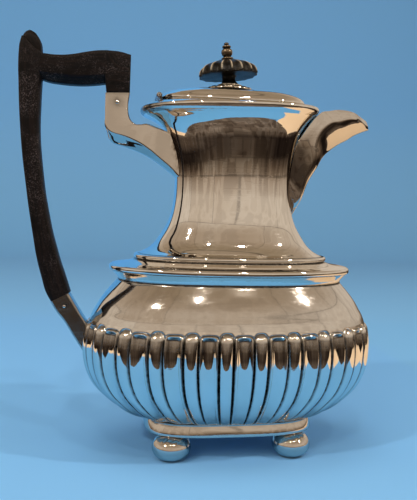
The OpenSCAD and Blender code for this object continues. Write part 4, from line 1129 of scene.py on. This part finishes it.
print("sections in the grip, bar and thumb rest:", len(grip_line), len(bar_line), len(thumb_line))

# %% Build the handle
def grain_along(spots, lines):
    """Vectors per point: mm along the nearest run of sections, mm off its middle, mm through the board."""
    best = np.full(len(spots), 1e9)
    grain = np.zeros((len(spots), 3))
    for k, line in enumerate(lines):
        mid = (line[:, [0, 1]] + line[:, [2, 3]]) / 2
        d = np.linalg.norm(spots[:, None, [0, 2]] - mid[None], axis=2)
        i = d.argmin(axis=1)
        way = np.gradient(mid, axis=0)[i]
        way /= np.maximum(np.linalg.norm(way, axis=1), 1e-9)[:, None]
        off = spots[:, [0, 2]] - mid[i]
        along = run_length(mid)[i] + (off * way).sum(axis=1)
        across = off[:, 0] * way[:, 1] - off[:, 1] * way[:, 0]
        near = d.min(axis=1) < best
        best = np.where(near, d.min(axis=1), best)
        grain[near] = np.stack([along + 300 * k, across, spots[:, 1]], -1)[near]
    return grain


handle = make_piece("wooden_handle", chain(grip_line, wood_plan), handle_wood, "pot", ["handle"],
                    slot="handle_wood", caps=True, crease=48)
parts = [make_piece("handle_part", chain(line, wood_plan), handle_wood, "pot", caps=True)
         for line in (bar_line, thumb_line)]
print("handle faces:", combined(handle, parts, "UNION", 48))
spots = np.empty(len(handle.data.vertices) * 3)
handle.data.vertices.foreach_get("co", spots)
spots = spots.reshape(-1, 3) / MM - [AXIS_X, 0, 0]
wear = np.interp(spots[:, 2], [80, 120, 150, 190, 215, 226, 235], [0.25, 0.5, 0.75, 1.0, 0.8, 0.5, 0.15])
add_marks(handle.data, {"grain": grain_along(spots, [grip_line, bar_line])[None], "wear": wear})

# %% [markdown]
# ## Lid and hinge
# The lid is a low oblong dome with a moulded edge, and a band below it that
# drops inside the mouth. The edge dips a little at the front and the back, as
# the rim does. The lid swings on a pin through three knuckles at the handle
# end, so the lid, the band and all that stands on it ride with the lid body.

# %% Build the lid
Z_LID = Z_MOUTH + 0.4
Z_DOME = Z_LID + 7.0
SKIRT_DROOP = 2.1


def lid_rows(line, z):
    """Stations [a, height over z], on the mouth's oval or their own [.., q, n], at half the lip's setback."""
    return np.array([[p[0], z + p[1], *(p[2:] or (Q_MOUTH, N_NECK)), 0.5] for p in line])


round_top = (Q_MOUTH + 0.25, 2)
dome = fair(lid_rows([
    (9.4, 0, *round_top), (12.84, -0.13, Q_MOUTH + 0.12, 2.3), (21.4, -0.7), (31.2, -1.65), (37.4, -2.75),
    (40.7, -4.0), (42.3, -5.3), (42.75, -6.15)], Z_DOME), 6)
lid_edge = fair(lid_rows([(42.75, 0.85), (42.75, 0.3), (42.5, 0.03), (42.1, 0)], Z_LID), 3)
lid_under = np.vstack([
    lid_rows([(41.95, 0.12), (39.8, 0.12), (39.8, 0.8)], Z_LID),
    lid_rows([(35.8, -4.36), (29.7, -3.17), (19.4, -2.2), (8, -1.5, *round_top)], Z_DOME)])
section = joined(dome, lid_edge, lid_under)
outer_row = np.arange(len(section)) < len(section) - len(lid_under)
skirt = ramp_up(section[:, 0], 33, 9) ** 2 * outer_row
section[:, 2] += 0.012 * skirt
grid = ring_rows(section)
grid[..., 2] -= SKIRT_DROOP * skirt[:, None] * front_and_back(grid)
dark = wear_rows(section, [[9.4, Z_DOME]], 0.8)
make_piece("lid_dome", grid, silver, "lid", ["lid"], caps=True, tarnish=dark)
band_shape = (Q_MOUTH - 0.006, N_NECK)
band = lid_rows([(A_MOUTH - 0.9, -3, *band_shape), (A_MOUTH - 0.9, 0, *band_shape), (A_MOUTH - 2.2, 0.8),
                 (A_MOUTH - 2.2, -3)], Z_LID)
make_piece("lid_band", ring_rows(band), silver, "lid", ["lid_bezel"], loop=True)

# %% Build the hinge knuckles
HINGE_X = -45.6
HINGE_Z = 204.4
KNUCKLE_R = 1.6


def knuckle(name, y0, y1, foot, body, nodes):
    """Barrel along y from y0 to y1 with a groove near each end; the section's radius swells as a bell
    towards the foot point, where it is soldered."""
    t = np.radians(np.linspace(0, 360, 25)[:-1])
    swing = np.arccos(np.clip(np.cos(t - math.atan2(foot[1], foot[0])), -1, 1))
    swollen = KNUCKLE_R + (np.hypot(*foot) - KNUCKLE_R) * bell(swing, 0.28)
    r = np.where(swing < 0.55, swollen, KNUCKLE_R)
    end = [(0, 0.3), (0.02, 0.82), (0.3, 1.0), (0.9, 1.0), (1.0, 0.95), (1.1, 1.0)]
    rows = [(y0 + d, f) for d, f in end] + [(y1 - d, f) for d, f in end[::-1]]
    y, f = np.array(rows).T[:, :, None]
    grid = np.stack([AXIS_X + HINGE_X + f * r * np.cos(t), y + 0 * t, HINGE_Z + f * r * np.sin(t)], -1)
    # Painted shade: the barrel is darkened all over; its grooves are fully tarnished.
    dark = 0.6 + 0.4 * (f[:, 0] < 0.99)
    make_piece(name, grid, silver, body, nodes, caps=True, crease=45, tarnish=dark)


POT_FOOT = (1.6, -3.0)
LID_FOOT = (3.6, -0.4)
knuckle("hinge_barrel_pot_0", -10.8, -3.8, POT_FOOT, "pot", ["hinge_pot_knuckles"])
knuckle("hinge_barrel_pot_1", 3.8, 10.8, POT_FOOT, "pot", [])
knuckle("hinge_barrel_lid_0", -3.5, 3.5, LID_FOOT, "lid", ["hinge_lid_knuckle"])

# %% [markdown]
# ## Rosette, finial and knop
# On the lid stands a cast rosette of lobes, then a turned and carved wooden
# finial like a small umbrella with hollow panels between sharp ribs, and a
# silver knop whose screw clamps them all to the lid. After years of use the
# finial leans a few degrees, and its ribs are rubbed bare, painted pale as wear and painted highlight.

# %% Build the rosette
PIVOT = (AXIS_X - 3.3, 0, Z_DOME)
LEAN = 5.5
R_ROSE = 14.0
H_ROSE = 3.4
LOBES = 16
t = evenly(240) * 2 * np.pi
# [share of the radius, height, mm out at a lobe, mm up at a lobe]
rosette_line = fair([
    [0.30, 0.2, 0, 0], [0.93, 0.2, -0.3, 0], [0.985, 0.75, 0.2, 0.0], [0.96, 1.45, 0.6, 0.35],
    [0.88, 1.95, 0.7, 0.55], [0.76, 2.1, 0.3, 0.5], [0.64, 2.05, 0, 0.15], [0.55, 2.2, 0, 0],
    [0.48, 2.9, 0, 0], [0.42, 3.9, 0, 0], [0.2, 4.0, 0, 0]], 4)
f, z, out, high = rosette_line.T[:, :, None]
lobe = np.abs(np.sin(LOBES * t / 2)) ** 0.6
r = np.minimum(R_ROSE * f + out * (lobe - 0.9), R_ROSE - 0.05)
grid = np.stack([PIVOT[0] + r * np.cos(t), r * np.sin(t), Z_DOME + z + high * (lobe - 0.8)], -1)
dark = 0.9 * np.broadcast_to(np.clip(1.1 - 1.4 * lobe, 0, 1), r.shape)
make_piece("finial_rosette_cast", grid, rosette_silver, "lid", ["finial_rosette"], caps=True,
           crease=60, tarnish=dark)

# %% Build the knop
H_FINIAL = 16.0
shank = [[1.5, -0.2], [3.3, -0.1]]
foot = fair([[3.5, 0], [3.55, 0.5], [3.2, 0.9], [2.35, 1.25], [2.2, 1.8]], 4)
vase = fair([[2.2, 1.8], [2.7, 2.1], [3.2, 3.0], [3.4, 4.2], [3.1, 5.4], [2.3, 6.2], [1.95, 6.7]], 5)
ring = fair([[1.95, 6.7], [2.45, 6.9], [2.65, 7.4], [2.45, 7.9], [1.5, 8.2]], 4)
tip = fair([[1.5, 8.2], [1.3, 8.5], [1.55, 9.1], [1.15, 9.8], [0.3, 10.15]], 4)
knop_line = np.vstack([[[1.5, -4]], placed(joined(shank, foot, vase, ring, tip), 0, H_ROSE + H_FINIAL)])
creases = placed([[2.2, 1.8], [1.95, 6.7], [1.4, 8.3]], 0, H_ROSE + H_FINIAL)
make_piece("finial_screw_knop", leaned(turned(knop_line, PIVOT, 64), LEAN, PIVOT), knop_silver, "lid",
           ["finial_knop"], caps=True, crease=40, tarnish=wear_rows(knop_line, creases, 0.55))

# %% Build the finial
RIBS = 16
R_FINIAL = 17.6
Z_FINIAL = Z_DOME + H_ROSE
BACK_LEAN = math.radians(3.2)
# [share of the radius, height, how hollow the panels are]
brim = fair([
    [0.24, 5.5, 0], [0.5, 5.6, 0], [0.85, 5.6, 0.1], [0.97, 5.8, 0.7], [1.0, 6.3, 1.1], [0.995, 7.6, 1.3],
    [0.955, 9.7, 1.4], [0.85, 11.6, 1.15], [0.68, 13.1, 0.8], [0.48, 14.3, 0.45], [0.33, 15.2, 0.2],
    [0.24, 15.8, 0.05]], 7)
f, z, hollow = brim.T[:, :, None]
t = evenly(RIBS * 16) * 2 * np.pi
panel = np.abs(np.sin(RIBS * t / 2))[None, :]
r = f * R_FINIAL * polar_radius(0.88, 2.4, t)[None, :] - hollow * panel ** 0.9 * 1.15
umbrella = np.stack([PIVOT[0] + r * np.cos(t), r * np.sin(t), Z_FINIAL + z + 0 * r], -1)
umbrella = leaned(umbrella, LEAN, PIVOT)
tip_back = np.array([[math.cos(BACK_LEAN), -math.sin(BACK_LEAN)], [math.sin(BACK_LEAN), math.cos(BACK_LEAN)]])
umbrella[..., 1:] = (umbrella[..., 1:] - [0, Z_FINIAL]) @ tip_back + [0, Z_FINIAL]
# Pale ribs: rubbed bare, and a painted highlight along them.
on_rib = bell(panel, 0.2) * ramp_up(z, 6.6, 1.6) * (1 - ramp_up(z, 13.4, 1.2))
make_piece("finial_umbrella", umbrella, finial_wood, "lid", ["finial"], slot="finial_wood",
           caps=True, crease=70, grain=umbrella - np.array(PIVOT), wear=np.full(r.shape, 0.25),
           ridge=on_rib)
stem = fair([[5.6, 0.0], [5.45, 0.9], [4.3, 2.3], [3.9, 4.0], [4.3, 5.2], [5.6, 6.2]], 6)
grid = leaned(turned(placed(stem, 0, H_ROSE), PIVOT, 64), LEAN, PIVOT)
make_piece("finial_stem", grid, finial_wood, "lid", slot="finial_wood", caps=True, crease=50,
           grain=grid - np.array(PIVOT), wear=np.full(grid.shape[:2], 0.2))

# %% [markdown]
# ## Pieces kept as they are
# The hinge pin and the washer and nut under the lid are small, exact solids,
# so they stay, with the silver finish put on them. Last, the bounds of the
# dressed pot are worked out.

# %% Finish
for node in ("hinge_pin", "finial_washer", "finial_nut"):
    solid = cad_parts[node]
    solid.data.materials.clear()
    solid.data.materials.append(dull_silver)
low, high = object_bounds()
